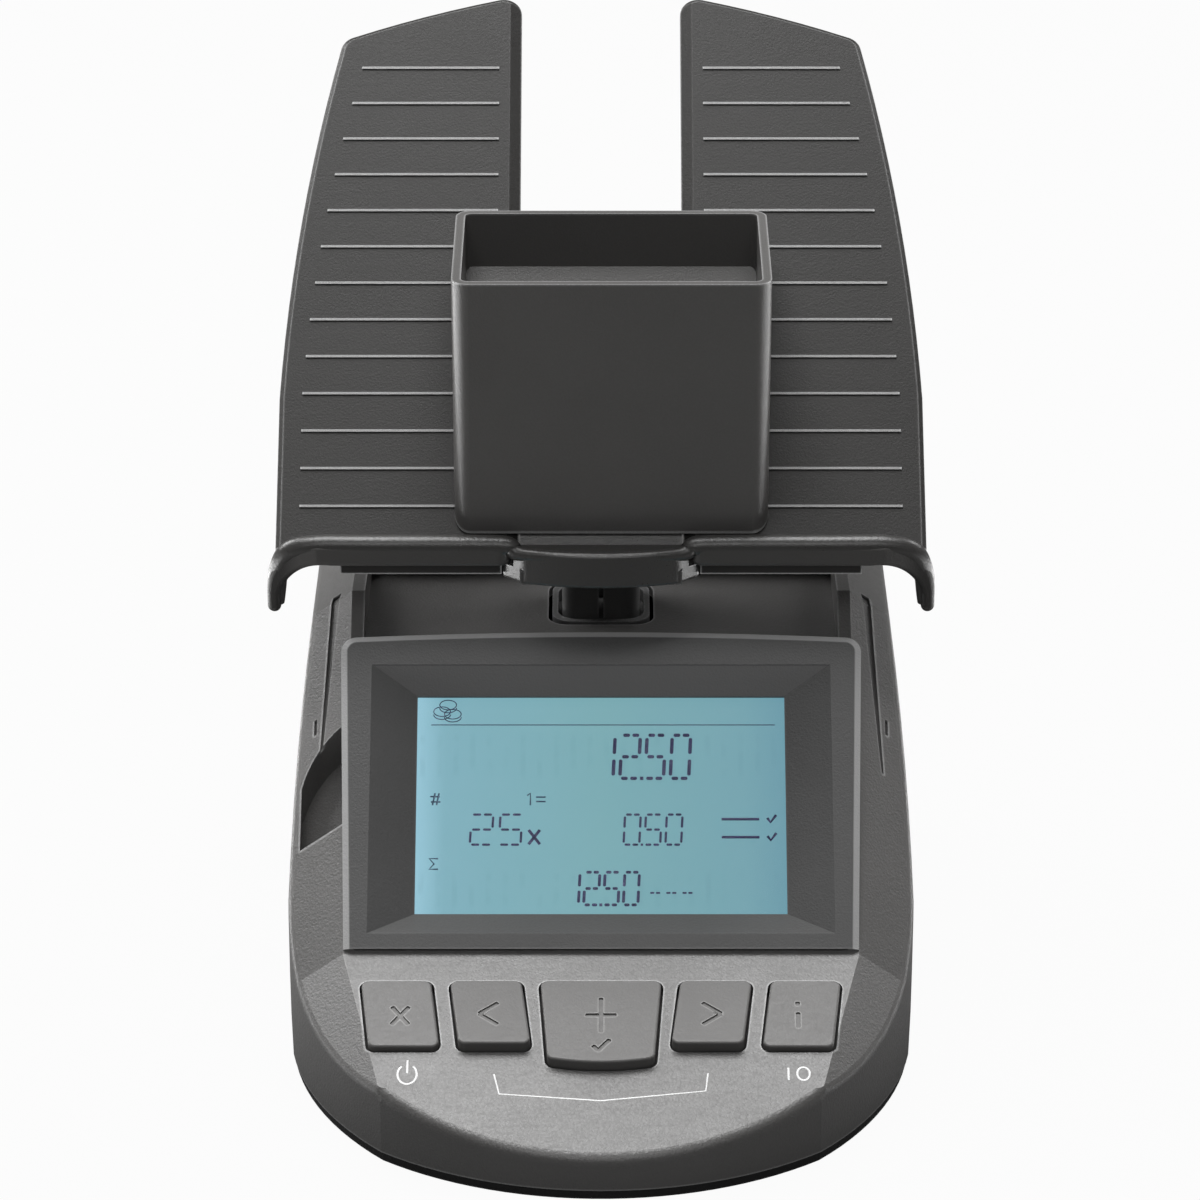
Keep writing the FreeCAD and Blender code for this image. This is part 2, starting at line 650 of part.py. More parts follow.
def roofed(inset, drop, low, relief="0"):
    """The housing's outer form, or a smaller one inside it: a drafted plan under a roof."""
    crease = "(crease_half + %s)" % relief
    ahead = "(panel_back + wall)"
    behind = "(base_depth + wall)"
    plan = plan_prism(inset, low, "housing_height")
    front_level = "(panel_height - %s * tan(panel_slope))" % ahead
    profile = (
        ("-wall", "-housing_height"),
        (behind, "-housing_height"),
        (behind, "%s - rear_drop - (%s)" % (CHEEK_TOP, drop)),
        ("cheek_back", "%s - (%s)" % (CHEEK_TOP, drop)),
        ("panel_back", "panel_height - (%s)" % drop),
        ("-wall", "%s - (%s)" % (front_level, drop)),
    )
    side = prism(BASE, "YZ_Plane", profile, "-base_width", "2 * base_width")
    narrow = "(%s - %s * tan(crease_splay))" % (crease, ahead)
    cuts = [
        shoulder(drop, "-wall", narrow, front_level, ahead,
                 "%s * tan(crease_splay)" % ahead, "%s * tan(panel_slope)" % ahead),
        shoulder(drop, "panel_back", crease, "panel_height", "cheek_back - panel_back",
                 "0", "(cheek_back - panel_back) * tan(cheek_slope)"),
        shoulder(drop, "cheek_back", crease, CHEEK_TOP, "%s - cheek_back" % behind,
                 "0", "-rear_drop"),
    ]
    cuts += [mirrored(tool) for tool in cuts]
    return cut(common(plan, side), *cuts)


def screw(frame, x, y, head_level, head, head_height, shank, length, down=False):
    """A screw whose head sits at a level, its shank pointing up or down."""
    if down:
        top = cylinder(frame, x, y, head_level, head, head_height)
        stem = cylinder(frame, x, y, "%s - (%s)" % (head_level, length), shank, length)
    else:
        top = cylinder(frame, x, y, "%s - (%s)" % (head_level, head_height), head, head_height)
        stem = cylinder(frame, x, y, head_level, shank, length)
    return fuse(top, stem)


def drill(frame, places, low, width, height):
    """Clearance holes for screws of one shank width, along a frame's z."""
    return [cylinder(frame, x, y, low, "%s + 2 * fit_gap" % width, height) for x, y in places]


def key_outline(side, inner, outer, slants, length, grow, bow="0"):
    """A key's outline in the panel's frame, leaning inward towards the front."""
    low = "-(key_top + %s + (%s))" % (length, grow)
    high = "-(key_top - (%s))" % grow
    low_inner = "%s * (%s - %s - (%s))" % (side, inner, slants[0], grow)
    low_outer = "%s * (%s - %s + (%s))" % (side, outer, slants[1], grow)
    outline = [(low_inner, low), (low_outer, low)]
    if bow != "0":
        outline.insert(1, ("0", "%s - (%s)" % (low, bow), "arc"))
    outline.append(("%s * (%s + (%s))" % (side, outer, grow), high))
    outline.append(("%s * (%s - (%s))" % (side, inner, grow), high))
    return outline


# Side, inner and outer edge, inward lean of both edges, length, rise at the lower edge and bow.
LEAN = ("key_slant", "key_slant")
KEYS = {
    "clear_key": ("-1", END_INNER, END_OUTER, LEAN, "key_length", "end_key_rise", "0"),
    "left_key": ("-1", SIDE_INNER, SIDE_OUTER, LEAN, "key_length", "key_rise", "0"),
    "plus_key": ("1", "-" + PLUS_EDGE, PLUS_EDGE, ("-plus_slant", "plus_slant"), "plus_length",
                 "key_rise", "plus_bow"),
    "right_key": ("1", SIDE_INNER, SIDE_OUTER, LEAN, "key_length", "key_rise", "0"),
    "info_key": ("1", END_INNER, END_OUTER, LEAN, "key_length", "end_key_rise", "0"),
}


def key_hole(name):
    """The opening of a key in the panel."""
    side, inner, outer, slants, length, rise, bow = KEYS[name]
    outline = key_outline(side, inner, outer, slants, length, "key_gap", bow)
    hole = prism(PANEL, "XY_Plane", outline, "-2 * roof_drop", "4 * roof_drop")
    soften(hole, hole.Tip, upright, "key_round + key_gap")
    return hole


def make_key(name):
    """A key: a cap with a raked top and a collar under the panel."""
    side, inner, outer, slants, length, rise, bow = KEYS[name]
    body = new_body(PANEL)
    cap = key_outline(side, inner, outer, slants, length, "0", bow)
    block = pad(body, sketch_on(body, "XY_Plane", cap, "-" + KEY_FOOT), "%s + %s" % (KEY_FOOT, rise))
    soften(body, block, upright, "key_round")
    collar = key_outline(side, inner, outer, slants, length, "key_flange", bow)
    pad(body, sketch_on(body, "XY_Plane", collar, "-" + KEY_FOOT), "key_flange_thick")
    high = "-key_top + key_edge"
    low = "-(key_top + %s + %s + key_edge)" % (length, bow)
    above = "2 * %s" % rise
    rake = body.newObject("PartDesign::Pocket", "Rake")
    wedge = ((high, "key_rise_back"), (high, above), (low, above), (low, rise))
    rake.Profile = sketch_on(body, "YZ_Plane", wedge)
    rake.Midplane = True
    rake.setExpression("Length", bound("2 * base_width"))
    level = 0.5 * value("key_rise_back")
    soften(body, rake, lambda edge: all(end.Point.z > level for end in edge.Vertexes), "key_edge")
    return part(name, body)


def key_middle(name):
    """The middle of a key in the panel's frame."""
    side, inner, outer, slants, length, rise, bow = KEYS[name]
    across = "%s * ((%s + %s) / 2 - (%s + %s) / 4)" % (side, inner, outer, slants[0], slants[1])
    return across, "-(key_top + %s / 2)" % length


def pair(half, y):
    """A place on the left and the same place on the right."""
    return [("-(%s)" % half, y), (half, y)]


BOARD_FAR = "(board_low + board_length)"
BOARD_FRONT_HALF = "(%s - 2 * board_screw_inset)" % END_OUTER
BOARD_SCREWS = pair("%s - board_screw_inset" % END_OUTER, "-(board_low + board_screw_inset / 2)")
BOARD_SCREWS += pair("%s - board_screw_inset" % BOARD_FRONT_HALF,
                     "-(%s - board_screw_inset / 2)" % BOARD_FAR)
SCREEN_SCREWS = pair("%s / 2 - board_screw_inset" % BOX_WIDTH, "%s + board_screw_inset" % BOX_LOW)
SCREEN_SCREWS += pair("%s / 2 - board_screw_inset" % BOX_WIDTH, "%s - board_screw_inset" % BOX_HIGH)
CASE_SCREWS = pair("boss_spread_front / 2", "boss_front") + pair("boss_spread_rear / 2", "boss_rear")
FEET = pair("foot_spread / 2", "foot_front") + pair("foot_spread / 2", "foot_rear")
POST_SCREWS = pair("post_foot / 2 - cell_screw", "post_back - post_foot / 2 + cell_screw")
POST_SCREWS += pair("post_foot / 2 - cell_screw", "post_back + post_foot / 2 - cell_screw")
CELL_MIDDLES = ("(cell_back - cell_seat / 2)", "(%s + cell_seat / 2)" % FREE_END)
FIXED_SCREWS = [("0", "%s %s cell_screw_pitch / 2" % (CELL_MIDDLES[0], sign)) for sign in "-+"]
FREE_SCREWS = [("0", "%s %s cell_screw_pitch / 2" % (CELL_MIDDLES[1], sign)) for sign in "-+"]
STOP_PLACE = [("0", CELL_MIDDLES[1])]
WING_SCREW_HALF = "(%s / 2 + flange_width - wing_screw_head)" % CRADLE_WIDTH
FLANGE_RUN = "(flange_back - flange_front)"
WING_SCREWS = pair(WING_SCREW_HALF, "flange_front + 0.2 * %s" % FLANGE_RUN)
WING_SCREWS += pair(WING_SCREW_HALF, "flange_front + 0.8 * %s" % FLANGE_RUN)
PORT_LEFT = "((jack_offset + data_offset) / 2 - port_width / 2)"
PORT_BACK = "(base_depth - wall - 2 * run_gap)"
PORT_PEG_Y = "(%s - port_reach + peg_width / 2)" % PORT_BACK
PORT_PEGS = [("%s + peg_width / 2" % PORT_LEFT, PORT_PEG_Y),
             ("%s + port_width - peg_width / 2" % PORT_LEFT, PORT_PEG_Y)]


def sunk(outline, depth):
    """What an outline cuts out of the roof, down to a depth that follows the roof."""
    return cut(prism(BASE, "XY_Plane", outline, FLOOR, "housing_height"), roofed("0", depth, FLOOR))


def scoop(grow):
    """The finger pocket of the left cheek, round at its outer rear corner."""
    inner = "-(scoop_inner - (%s))" % grow
    outer = "-(scoop_outer + (%s))" % grow
    near = "(scoop_front - (%s))" % grow
    far = "(scoop_back + (%s))" % grow
    outline = (
        (outer, near),
        (inner, near),
        (inner, far),
        ("%s + 0.4 * (scoop_outer - scoop_inner)" % outer, "%s - 0.25 * scoop_round" % far, "arc"),
        (outer, "%s - scoop_round" % far),
    )
    return sunk(outline, "scoop_depth + (%s)" % grow)


def groove():
    """The parting groove along the right cheek, wider to the rear, and the short slit beside it."""
    line = (
        ("groove_front_half", "groove_front"),
        ("groove_front_half + groove_width", "groove_front"),
        ("groove_rear_half + groove_rear_width", "groove_rear"),
        ("groove_rear_half", "groove_rear"),
    )
    slit = (
        ("slit_half", "slit_front"),
        ("slit_half + slit_width", "slit_front"),
        ("slit_half + slit_width", "slit_front + slit_length"),
        ("slit_half", "slit_front + slit_length"),
    )
    return fuse(sunk(line, "groove_depth"), sunk(slit, "groove_depth"))


def make_housing():
    """The moulded top housing with its panel, cheeks, well, scoop and screw bosses."""
    outer = soften_rim(roofed("0", "0", FLOOR), "roof_round")
    inner = roofed("wall", "roof_drop", "%s - wall" % FLOOR, "crease_relief")
    well_run = "(well_back - well_front)"
    keep = [
        middle_box(BASE, "well_front - wall", "deck_height - wall", "well_width + 2 * wall",
                   "%s + 2 * wall" % well_run, "housing_height"),
        scoop("wall"),
    ]
    boss_low = "boss_seam + fit_gap"
    boss_height = "(%s - boss_seam)" % CHEEK_TOP
    keep += [cylinder(BASE, x, y, boss_low, "case_boss", boss_height) for x, y in CASE_SCREWS]
    peg_low = "-" + BOARD_TOP
    keep += [cylinder(PANEL, x, y, peg_low, "peg_width", BOARD_TOP) for x, y in BOARD_SCREWS]
    line = groove()
    tools = [
        cut(inner, *keep),
        middle_box(BASE, "well_front", "deck_height", "well_width", well_run, "housing_height"),
        scoop("0"),
        line,
        mirrored(line),
        prism(BASE, "XY_Plane", square("post_opening"), "deck_height - 2 * wall", "4 * wall"),
        middle_box(SCREEN, BOX_LOW + " - run_gap", "-2 * screen_depth", BOX_WIDTH + " + 2 * run_gap",
                   BOX_RUN + " + 2 * run_gap", "4 * screen_depth"),
        cylinder(BASE, "jack_offset", "base_depth - 3 * wall", PORT_TOP + " + jack_height / 2",
                 "jack_bore + 2 * run_gap", "6 * wall", "y"),
        middle_box(BASE, "base_depth - 3 * wall", PORT_TOP + " + run_gap", "data_width - 2 * run_gap",
                   "6 * wall", "data_height - 2 * run_gap", "data_offset"),
    ]
    tools += [key_hole(name) for name in KEYS]
    tools += drill(BASE, CASE_SCREWS, FLOOR, "case_screw", "case_screw_length + fit_gap")
    tools += drill(PANEL, BOARD_SCREWS, peg_low, "small_screw", "%s - %s" % (BOARD_TOP, PANEL_UNDER))
    part("top_housing", cut(outer, *tools))


def make_pan():
    """The base pan: floor, tongue, bosses, battery bay and the seat of the load cell."""
    rim = "(wall + 2 * fit_gap)"
    low = "(%s - pan_floor / 2)" % FLOOR
    tongue = cut(plan_prism(rim, low, "%s + tongue_height - %s" % (FLOOR, low)),
                 plan_prism("%s + tongue_wall" % rim, FLOOR, "2 * tongue_height"))
    solids = [plan_prism("pan_inset", "foot_height", "pan_floor"), tongue]
    boss = "case_boss + 2 * run_gap"
    solids += [cylinder(BASE, x, y, low, boss, "boss_seam - %s" % low) for x, y in CASE_SCREWS]
    solids += [cylinder(BASE, x, y, low, "peg_width", "port_height - %s" % low) for x, y in PORT_PEGS]
    stop_height = "%s - stop_gap - 2 * cell_spacer - %s" % (CELL_LOW, low)
    solids += [cylinder(BASE, x, y, low, "stop_boss", stop_height) for x, y in STOP_PLACE]
    bay_start = "%s - %s / 2" % (BAY_MIDDLE, BAY_LENGTH)
    solids += [
        middle_box(BASE, "cell_back - cell_seat", low, "2 * cell_side", "cell_seat",
                   "cell_boss_top - %s" % low),
        middle_box(BASE, bay_start + " - bay_wall", low, BAY_WIDTH + " + 2 * bay_wall",
                   BAY_LENGTH + " + 2 * bay_wall", "%s + bay_wall - %s" % (BAY_TOP, low)),
    ]
    tools = [
        middle_box(BASE, bay_start, "0", BAY_WIDTH, BAY_LENGTH, BAY_TOP),
        middle_box(BASE, bay_start + " - door_rebate", "0", BAY_WIDTH + " + 2 * door_rebate",
                   BAY_LENGTH + " + 2 * door_rebate", "foot_height + door_thick + fit_gap"),
    ]
    tools += [cylinder(BASE, x, y, "0", "foot_width", "foot_height + foot_socket") for x, y in FEET]
    tools += drill(BASE, CASE_SCREWS, "0", "case_screw", "housing_height")
    tools += drill(BASE, CASE_SCREWS, "0", "case_screw_head", HEAD_SEAT)
    tools += drill(BASE, FIXED_SCREWS + STOP_PLACE, "0", "cell_screw", "housing_height")
    tools += drill(BASE, FIXED_SCREWS + STOP_PLACE, "0", "cell_screw_head", HEAD_SEAT)
    tools += drill(BASE, PORT_PEGS, FLOOR, "small_screw", "port_height")
    part("base_pan", cut(fuse(*solids), *tools))


def make_fasteners():
    """Feet and the screws of the housing and the boards, each kind as one group."""
    foot = "foot_width - 2 * fit_gap"
    part("rubber_feet", group([
        cylinder(BASE, x, y, "0", foot, "foot_height + foot_socket") for x, y in FEET]))
    part("housing_screws", group([
        screw(BASE, x, y, HEAD_SEAT, "case_screw_head", HEAD_HEIGHT, "case_screw", "case_screw_length")
        for x, y in CASE_SCREWS]))
    grip = "%s + board_thick - %s - fit_gap" % (BOARD_TOP, PANEL_UNDER)
    part("board_screws", group([
        screw(PANEL, x, y, "-(%s + board_thick)" % BOARD_TOP, "small_head", "small_head_height",
              "small_screw", grip) for x, y in BOARD_SCREWS]))
    part("display_screws", group([
        screw(SCREEN, x, y, "-(screen_depth + board_thick)", "small_head", "small_head_height", "small_screw",
              "2 * board_thick") for x, y in SCREEN_SCREWS]))
    part("port_screws", group([
        screw(BASE, x, y, PORT_TOP, "small_head", "small_head_height", "small_screw", "2 * board_thick", True)
        for x, y in PORT_PEGS]))


def make_electronics():
    """Key mat, main board and sounder under the key panel."""
    mat_front = "(key_top + plus_length)"
    mat_low = "-" + BOARD_TOP
    tongue = middle_box(PANEL, "-" + mat_front, mat_low, "2 * " + SIDE_OUTER, mat_front + " - key_top",
                        "mat_thick")
    wide = middle_box(PANEL, "-(key_top + key_length)", mat_low, "2 * (%s - key_slant)" % END_OUTER,
                      "key_length", "mat_thick")
    domes = [cone(PANEL, *key_middle(name), "-" + MAT_TOP, "dome_width", "dome_width / 2", "dome_height")
             for name in KEYS]
    part("key_mat", fuse(tongue, wide, *domes))
    outline = (
        ("-" + BOARD_FRONT_HALF, "-" + BOARD_FAR),
        (BOARD_FRONT_HALF, "-" + BOARD_FAR),
        (END_OUTER, "-board_low"),
        ("-" + END_OUTER, "-board_low"),
    )
    under = "-(%s + board_thick)" % BOARD_TOP
    board = prism(PANEL, "XY_Plane", outline, under, "board_thick")
    part("main_board", cut(board, *drill(PANEL, BOARD_SCREWS, under, "small_screw", "board_thick")))
    part("sounder", cylinder(PANEL, "%s * 0.75" % END_OUTER, "-(%s + board_low) / 2" % BOARD_FAR,
                             "%s - sounder_height" % under, "sounder_width", "sounder_height"))


def make_ports():
    """The rear port board with its power jack and data port."""
    start = "%s - port_reach" % PORT_BACK
    plate = box(BASE, PORT_LEFT, start, "port_height", "port_width", "port_reach", "board_thick")
    part("port_board", cut(plate, *drill(BASE, PORT_PEGS, "0", "small_screw", "2 * port_height")))
    front = "%s - port_depth" % PORT_BACK
    middle = PORT_TOP + " + jack_height / 2"
    jack = middle_box(BASE, front, PORT_TOP, "jack_width", "port_depth", "jack_height", "jack_offset")
    bore = cylinder(BASE, "jack_offset", front + " + wall", middle, "jack_bore", "port_depth", "y")
    pin = cylinder(BASE, "jack_offset", front + " + wall / 2", middle, "jack_bore / 3",
                   "port_depth - wall", "y")
    part("dc_jack", fuse(cut(jack, bore), pin))
    shell = middle_box(BASE, front, PORT_TOP, "data_width", "port_depth", "data_height", "data_offset")
    mouth = middle_box(BASE, front + " + 2 * wall", PORT_TOP + " + 2 * run_gap", "data_width - 4 * run_gap",
                       "port_depth", "data_height - 4 * run_gap", "data_offset")
    part("data_port", cut(shell, mouth))


def screen_frame():
    """The display frame: a raked slab with an arched top, round edges and a seat on the roof."""
    body = new_body(SCREEN)
    low = "(screen_width / 2)"
    high = "(%s + screen_flare)" % low
    side = "(screen_length - screen_crown)"
    outline = (
        ("-" + low, "0"),
        (low, "0"),
        (high, side),
        ("0", "screen_length", "arc"),
        ("-" + high, side),
    )
    slab = pad(body, sketch_on(body, "XY_Plane", outline, "-screen_depth"), "screen_depth")
    middle = 0.5 * value("screen_length")
    corners = soften(body, slab, lambda edge: upright(edge) and edge.CenterOfMass.y > middle, "screen_round")
    bevel = soften(body, corners, lambda edge: all(abs(end.Point.z) < 0.01 for end in edge.Vertexes)
                   and edge.CenterOfMass.y > 0.01, "screen_edge_depth", "Chamfer")
    bevel.ChamferType = "Two distances"
    bevel.setExpression("Size2", bound("screen_edge"))
    seat = "(-screen_lift * cos(screen_slope) + fit_gap)"
    near = "(-screen_lift * sin(screen_slope))"
    far = "(screen_length + screen_lift)"
    deep = "-2 * screen_depth"
    under = body.newObject("PartDesign::Pocket", "Under")
    under.Profile = sketch_on(body, "YZ_Plane", (
        (near, seat),
        (near, deep),
        (far, deep),
        (far, "%s - (%s - %s) * tan(screen_slope - cheek_slope)" % (seat, far, near)),
    ))
    under.Midplane = True
    under.setExpression("Length", bound("2 * base_width"))
    return body


def facet_cut():
    """The sloping facet round the window, a frame that narrows from the face to the window."""
    body = new_body(SCREEN)
    rings = []
    for width, low, length, level in (
            (FACET_WIDTH, "facet_low", FACET_LENGTH, "0"),
            (WINDOW_WIDTH, WINDOW_LOW, WINDOW_LENGTH, "-facet_depth"),
            (WINDOW_WIDTH, WINDOW_LOW, WINDOW_LENGTH, "-screen_depth")):
        half = "(%s / 2)" % width
        high = "%s + %s" % (low, length)
        outline = (("-" + half, low), (half, low), (half, high), ("-" + half, high))
        rings.append(sketch_on(body, "XY_Plane", outline, level))
    funnel = body.newObject("PartDesign::AdditiveLoft", "Funnel")
    funnel.Profile = rings[0]
    funnel.Sections = rings[1:]
    funnel.Ruled = True
    return body


def make_screen():
    """The display: frame, window, glass, light guide and board."""
    tub = middle_box(SCREEN, BOX_LOW, "-screen_depth", BOX_WIDTH, BOX_RUN, "screen_depth - screen_lift")
    bed_low = "(%s - window_ledge)" % WINDOW_LOW
    bed_width = "(%s + 2 * window_ledge)" % WINDOW_WIDTH
    bed_length = "(%s + 2 * window_ledge)" % WINDOW_LENGTH
    bed = middle_box(SCREEN, bed_low, "-2 * screen_depth", bed_width, bed_length,
                     "2 * screen_depth - " + WINDOW_TOP)
    pilots = drill(SCREEN, SCREEN_SCREWS, "-screen_depth", "small_screw", "2 * board_thick")
    part("display_bezel", cut(fuse(screen_frame(), tub), facet_cut(), bed, *pilots))
    low = bed_low + " + fit_gap"
    width = bed_width + " - 2 * fit_gap"
    length = bed_length + " - 2 * fit_gap"
    glass_top = "(%s + window_thick)" % WINDOW_TOP
    part("display_window", middle_box(SCREEN, low, "-" + glass_top, width, length, "window_thick"))
    light_top = "(%s + fit_gap + glass_thick)" % glass_top
    part("lcd_panel", middle_box(SCREEN, low, "-" + light_top, width, length, "glass_thick"))
    part("lcd_backlight", middle_box(SCREEN, low, "-screen_depth", width, length,
                                     "screen_depth - " + light_top))
    under = "-(screen_depth + board_thick)"
    board = middle_box(SCREEN, BOX_LOW, under, BOX_WIDTH, BOX_RUN, "board_thick")
    part("display_board", cut(board, *drill(SCREEN, SCREEN_SCREWS, under, "small_screw", "board_thick")))


def make_load_cell():
    """The load cell with its bending zone, its two spacer plates, its screws and the overload stop."""
    bar = middle_box(BASE, FREE_END, CELL_LOW, "cell_side", "cell_length", "cell_side")
    zone = "(cell_back - cell_length / 2)"
    level = CELL_LOW + " + cell_side / 2"
    bores = [cross_bar(BASE, "-cell_side", "%s %s cell_hole_pitch / 2" % (zone, sign), level, "cell_hole",
                       "2 * cell_side") for sign in "-+"]
    slot = middle_box(BASE, "%s - cell_hole_pitch / 2" % zone, level + " - cell_slot / 2", "2 * cell_side",
                      "cell_hole_pitch", "cell_slot")
    holes = drill(BASE, FIXED_SCREWS + FREE_SCREWS, "0", "cell_screw", BRACKET_TOP)
    part("load_cell", cut(bar, slot, *bores, *holes))
    for label, start, low, places in (
            ("load_cell_spacer", "cell_back - cell_seat", "cell_boss_top", FIXED_SCREWS),
            ("platform_spacer", FREE_END, CELL_TOP, FREE_SCREWS)):
        plate = middle_box(BASE, start, low, "cell_side", "cell_seat", "cell_spacer")
        part(label, cut(plate, *drill(BASE, places, "0", "cell_screw", BRACKET_TOP)))
    part("fixed_end_screws", group([
        screw(BASE, x, y, HEAD_SEAT, "cell_screw_head", HEAD_HEIGHT, "cell_screw",
              "%s + cell_side / 2 - %s" % (CELL_LOW, HEAD_SEAT)) for x, y in FIXED_SCREWS]))
    part("free_end_screws", group([
        screw(BASE, x, y, BRACKET_TOP, "cell_screw_head", "cell_screw / 2", "cell_screw",
              "bracket_thick + cell_spacer + cell_side / 2", True) for x, y in FREE_SCREWS]))
    part("overload_stop", screw(BASE, *STOP_PLACE[0], HEAD_SEAT, "cell_screw_head", HEAD_HEIGHT, "cell_screw",
                                "%s - stop_gap - %s" % (CELL_LOW, HEAD_SEAT)))


def make_platform():
    """The bracket on the load cell and the post that carries the tray."""
    reach = "post_back + post_foot / 2 - %s" % FREE_END
    arm = middle_box(BASE, FREE_END, BRACKET_LOW, "bracket_width", reach, "bracket_thick")
    holes = drill(BASE, FREE_SCREWS, "0", "cell_screw", "housing_height")
    holes += drill(BASE, POST_SCREWS, "0", "case_screw", "housing_height")
    part("platform_bracket", cut(arm, *holes))
    foot = middle_box(BASE, "post_back - post_foot / 2", BRACKET_TOP, "post_foot", "post_foot",
                      "post_foot_thick")
    column = prism(BASE, "XY_Plane", square("post_width"), BRACKET_TOP, "post_top - " + BRACKET_TOP)
    slit = middle_box(BASE, "post_back - post_width / 2 - collar_web", "post_top - post_slit_depth",
                      "post_slit", "2 * post_width", "2 * post_slit_depth")
    collar_low = "(deck_height + collar_proud - collar_height)"
    ring = prism(BASE, "XY_Plane", square("collar_width"), collar_low, "collar_height")
    trough = prism(BASE, "XY_Plane", square("(collar_width - 2 * collar_wall)"), collar_low + " + collar_web",
                   "collar_height")
    holes = drill(BASE, POST_SCREWS, "0", "case_screw", "housing_height")
    part("platform_post", cut(fuse(foot, cut(column, slit), cut(ring, trough)), *holes))
    part("post_screws", group([
        screw(BASE, x, y, POST_LOW, "case_screw_head", "case_screw / 2", "case_screw",
              "post_foot_thick + bracket_thick", True) for x, y in POST_SCREWS]))


def make_power():
    """Battery cells, their contacts and the door under the pan."""
    level = "(%s + battery_width / 2 + fit_gap)" % FLOOR
    bars = []
    for number in range(CELLS):
        middle = "(%s + (%d - %d / 2 + 0.5) * battery_pitch)" % (BAY_MIDDLE, number, CELLS)
        bars.append(cross_bar(BASE, "-battery_length / 2", middle, level, "battery_width", "battery_length"))
    part("battery_cells", group(bars))
    start = "%s - %s / 2" % (BAY_MIDDLE, BAY_LENGTH)
    side = "(%s / 2 - contact_thick / 2 - fit_gap)" % BAY_WIDTH
    plates = [middle_box(BASE, start + " + run_gap", FLOOR, "contact_thick", BAY_LENGTH + " - 2 * run_gap",
                         "battery_width", x) for x, y in pair(side, "0")]
    part("battery_contacts", group(plates))
    lap = "(door_rebate - run_gap)"
    width = "%s + 2 * %s" % (BAY_WIDTH, lap)
    length = "%s + 2 * %s" % (BAY_LENGTH, lap)
    front = "%s - %s" % (start, lap)
    part("battery_door", middle_box(BASE, front, "foot_height", width, length, "door_thick"))


def wing_outline(inset, start):
    """Half of the note slope, beside the slot that runs up its middle."""
    inner = "(wing_slot / 2 + (%s))" % inset
    outer = "(wing_half - (%s))" % inset
    corner = "(wing_tip_half - (%s))" % inset
    bend = "((%s + %s) / 2 + wing_bow)" % (outer, corner)
    tip = "(wing_outer_length - (%s))" % inset
    rear = "(wing_length - (%s))" % inset
    return (
        (inner, start),
        (outer, start),
        (outer, "wing_straight"),
        (bend, "(wing_straight + %s) / 2" % tip, "arc"),
        (corner, tip),
        ("(%s + %s) / 2" % (inner, corner), "(%s + %s) / 2 + wing_rear_bow" % (rear, tip), "arc"),
        (inner, rear),
    )


def make_wings():
    """A raked plate with fine raised lines and a drooping ledge, and the same on the other side."""
    body = new_body(TRAY)
    plate = pad(body, sketch_on(body, "XY_Plane", wing_outline("0", "0"), "-wing_thick"), "wing_thick")
    far = 0.9 * value("wing_outer_length")
    rounded = soften(body, plate, lambda edge: upright(edge) and edge.Vertexes[0].Point.y > far, "wing_round")
    near = 0.5 * value("lip_depth")
    soften(body, rounded, lambda edge: all(abs(end.Point.z) < 0.01 for end in edge.Vertexes)
           and edge.CenterOfMass.y > near, "wing_edge", "Chamfer")
    border = body.newObject("PartDesign::Pocket", "Border")
    border.Profile = sketch_on(body, "XZ_Plane", (
        ("wing_slot / 2 - slot_edge", "-2 * wing_edge"),
        ("wing_slot / 2 + slot_edge", "0"),
        ("wing_slot / 2 - slot_edge", "wing_edge"),
    ))
    border.Midplane = True
    border.setExpression("Length", bound("4 * wing_length"))
    bars = [box(TRAY, "0", "rib_first + %d * rib_pitch - rib_width / 2" % number, "-rib_height",
                "2 * wing_half", "rib_width", "2 * rib_height") for number in range(RIBS)]
    bounds = wing_outline("rib_margin", "rib_height")
    field = prism(TRAY, "XY_Plane", bounds, "-rib_height", "4 * rib_height")
    lines = common(group(bars), field)
    holes = drill(TRAY, WING_SCREWS, "-wing_thick", "wing_screw", "wing_thick * 0.7")
    right = cut(fuse(body, make_ledge(), lines), *holes)
    part("right_note_wing", right)
    part("left_note_wing", mirrored(right))


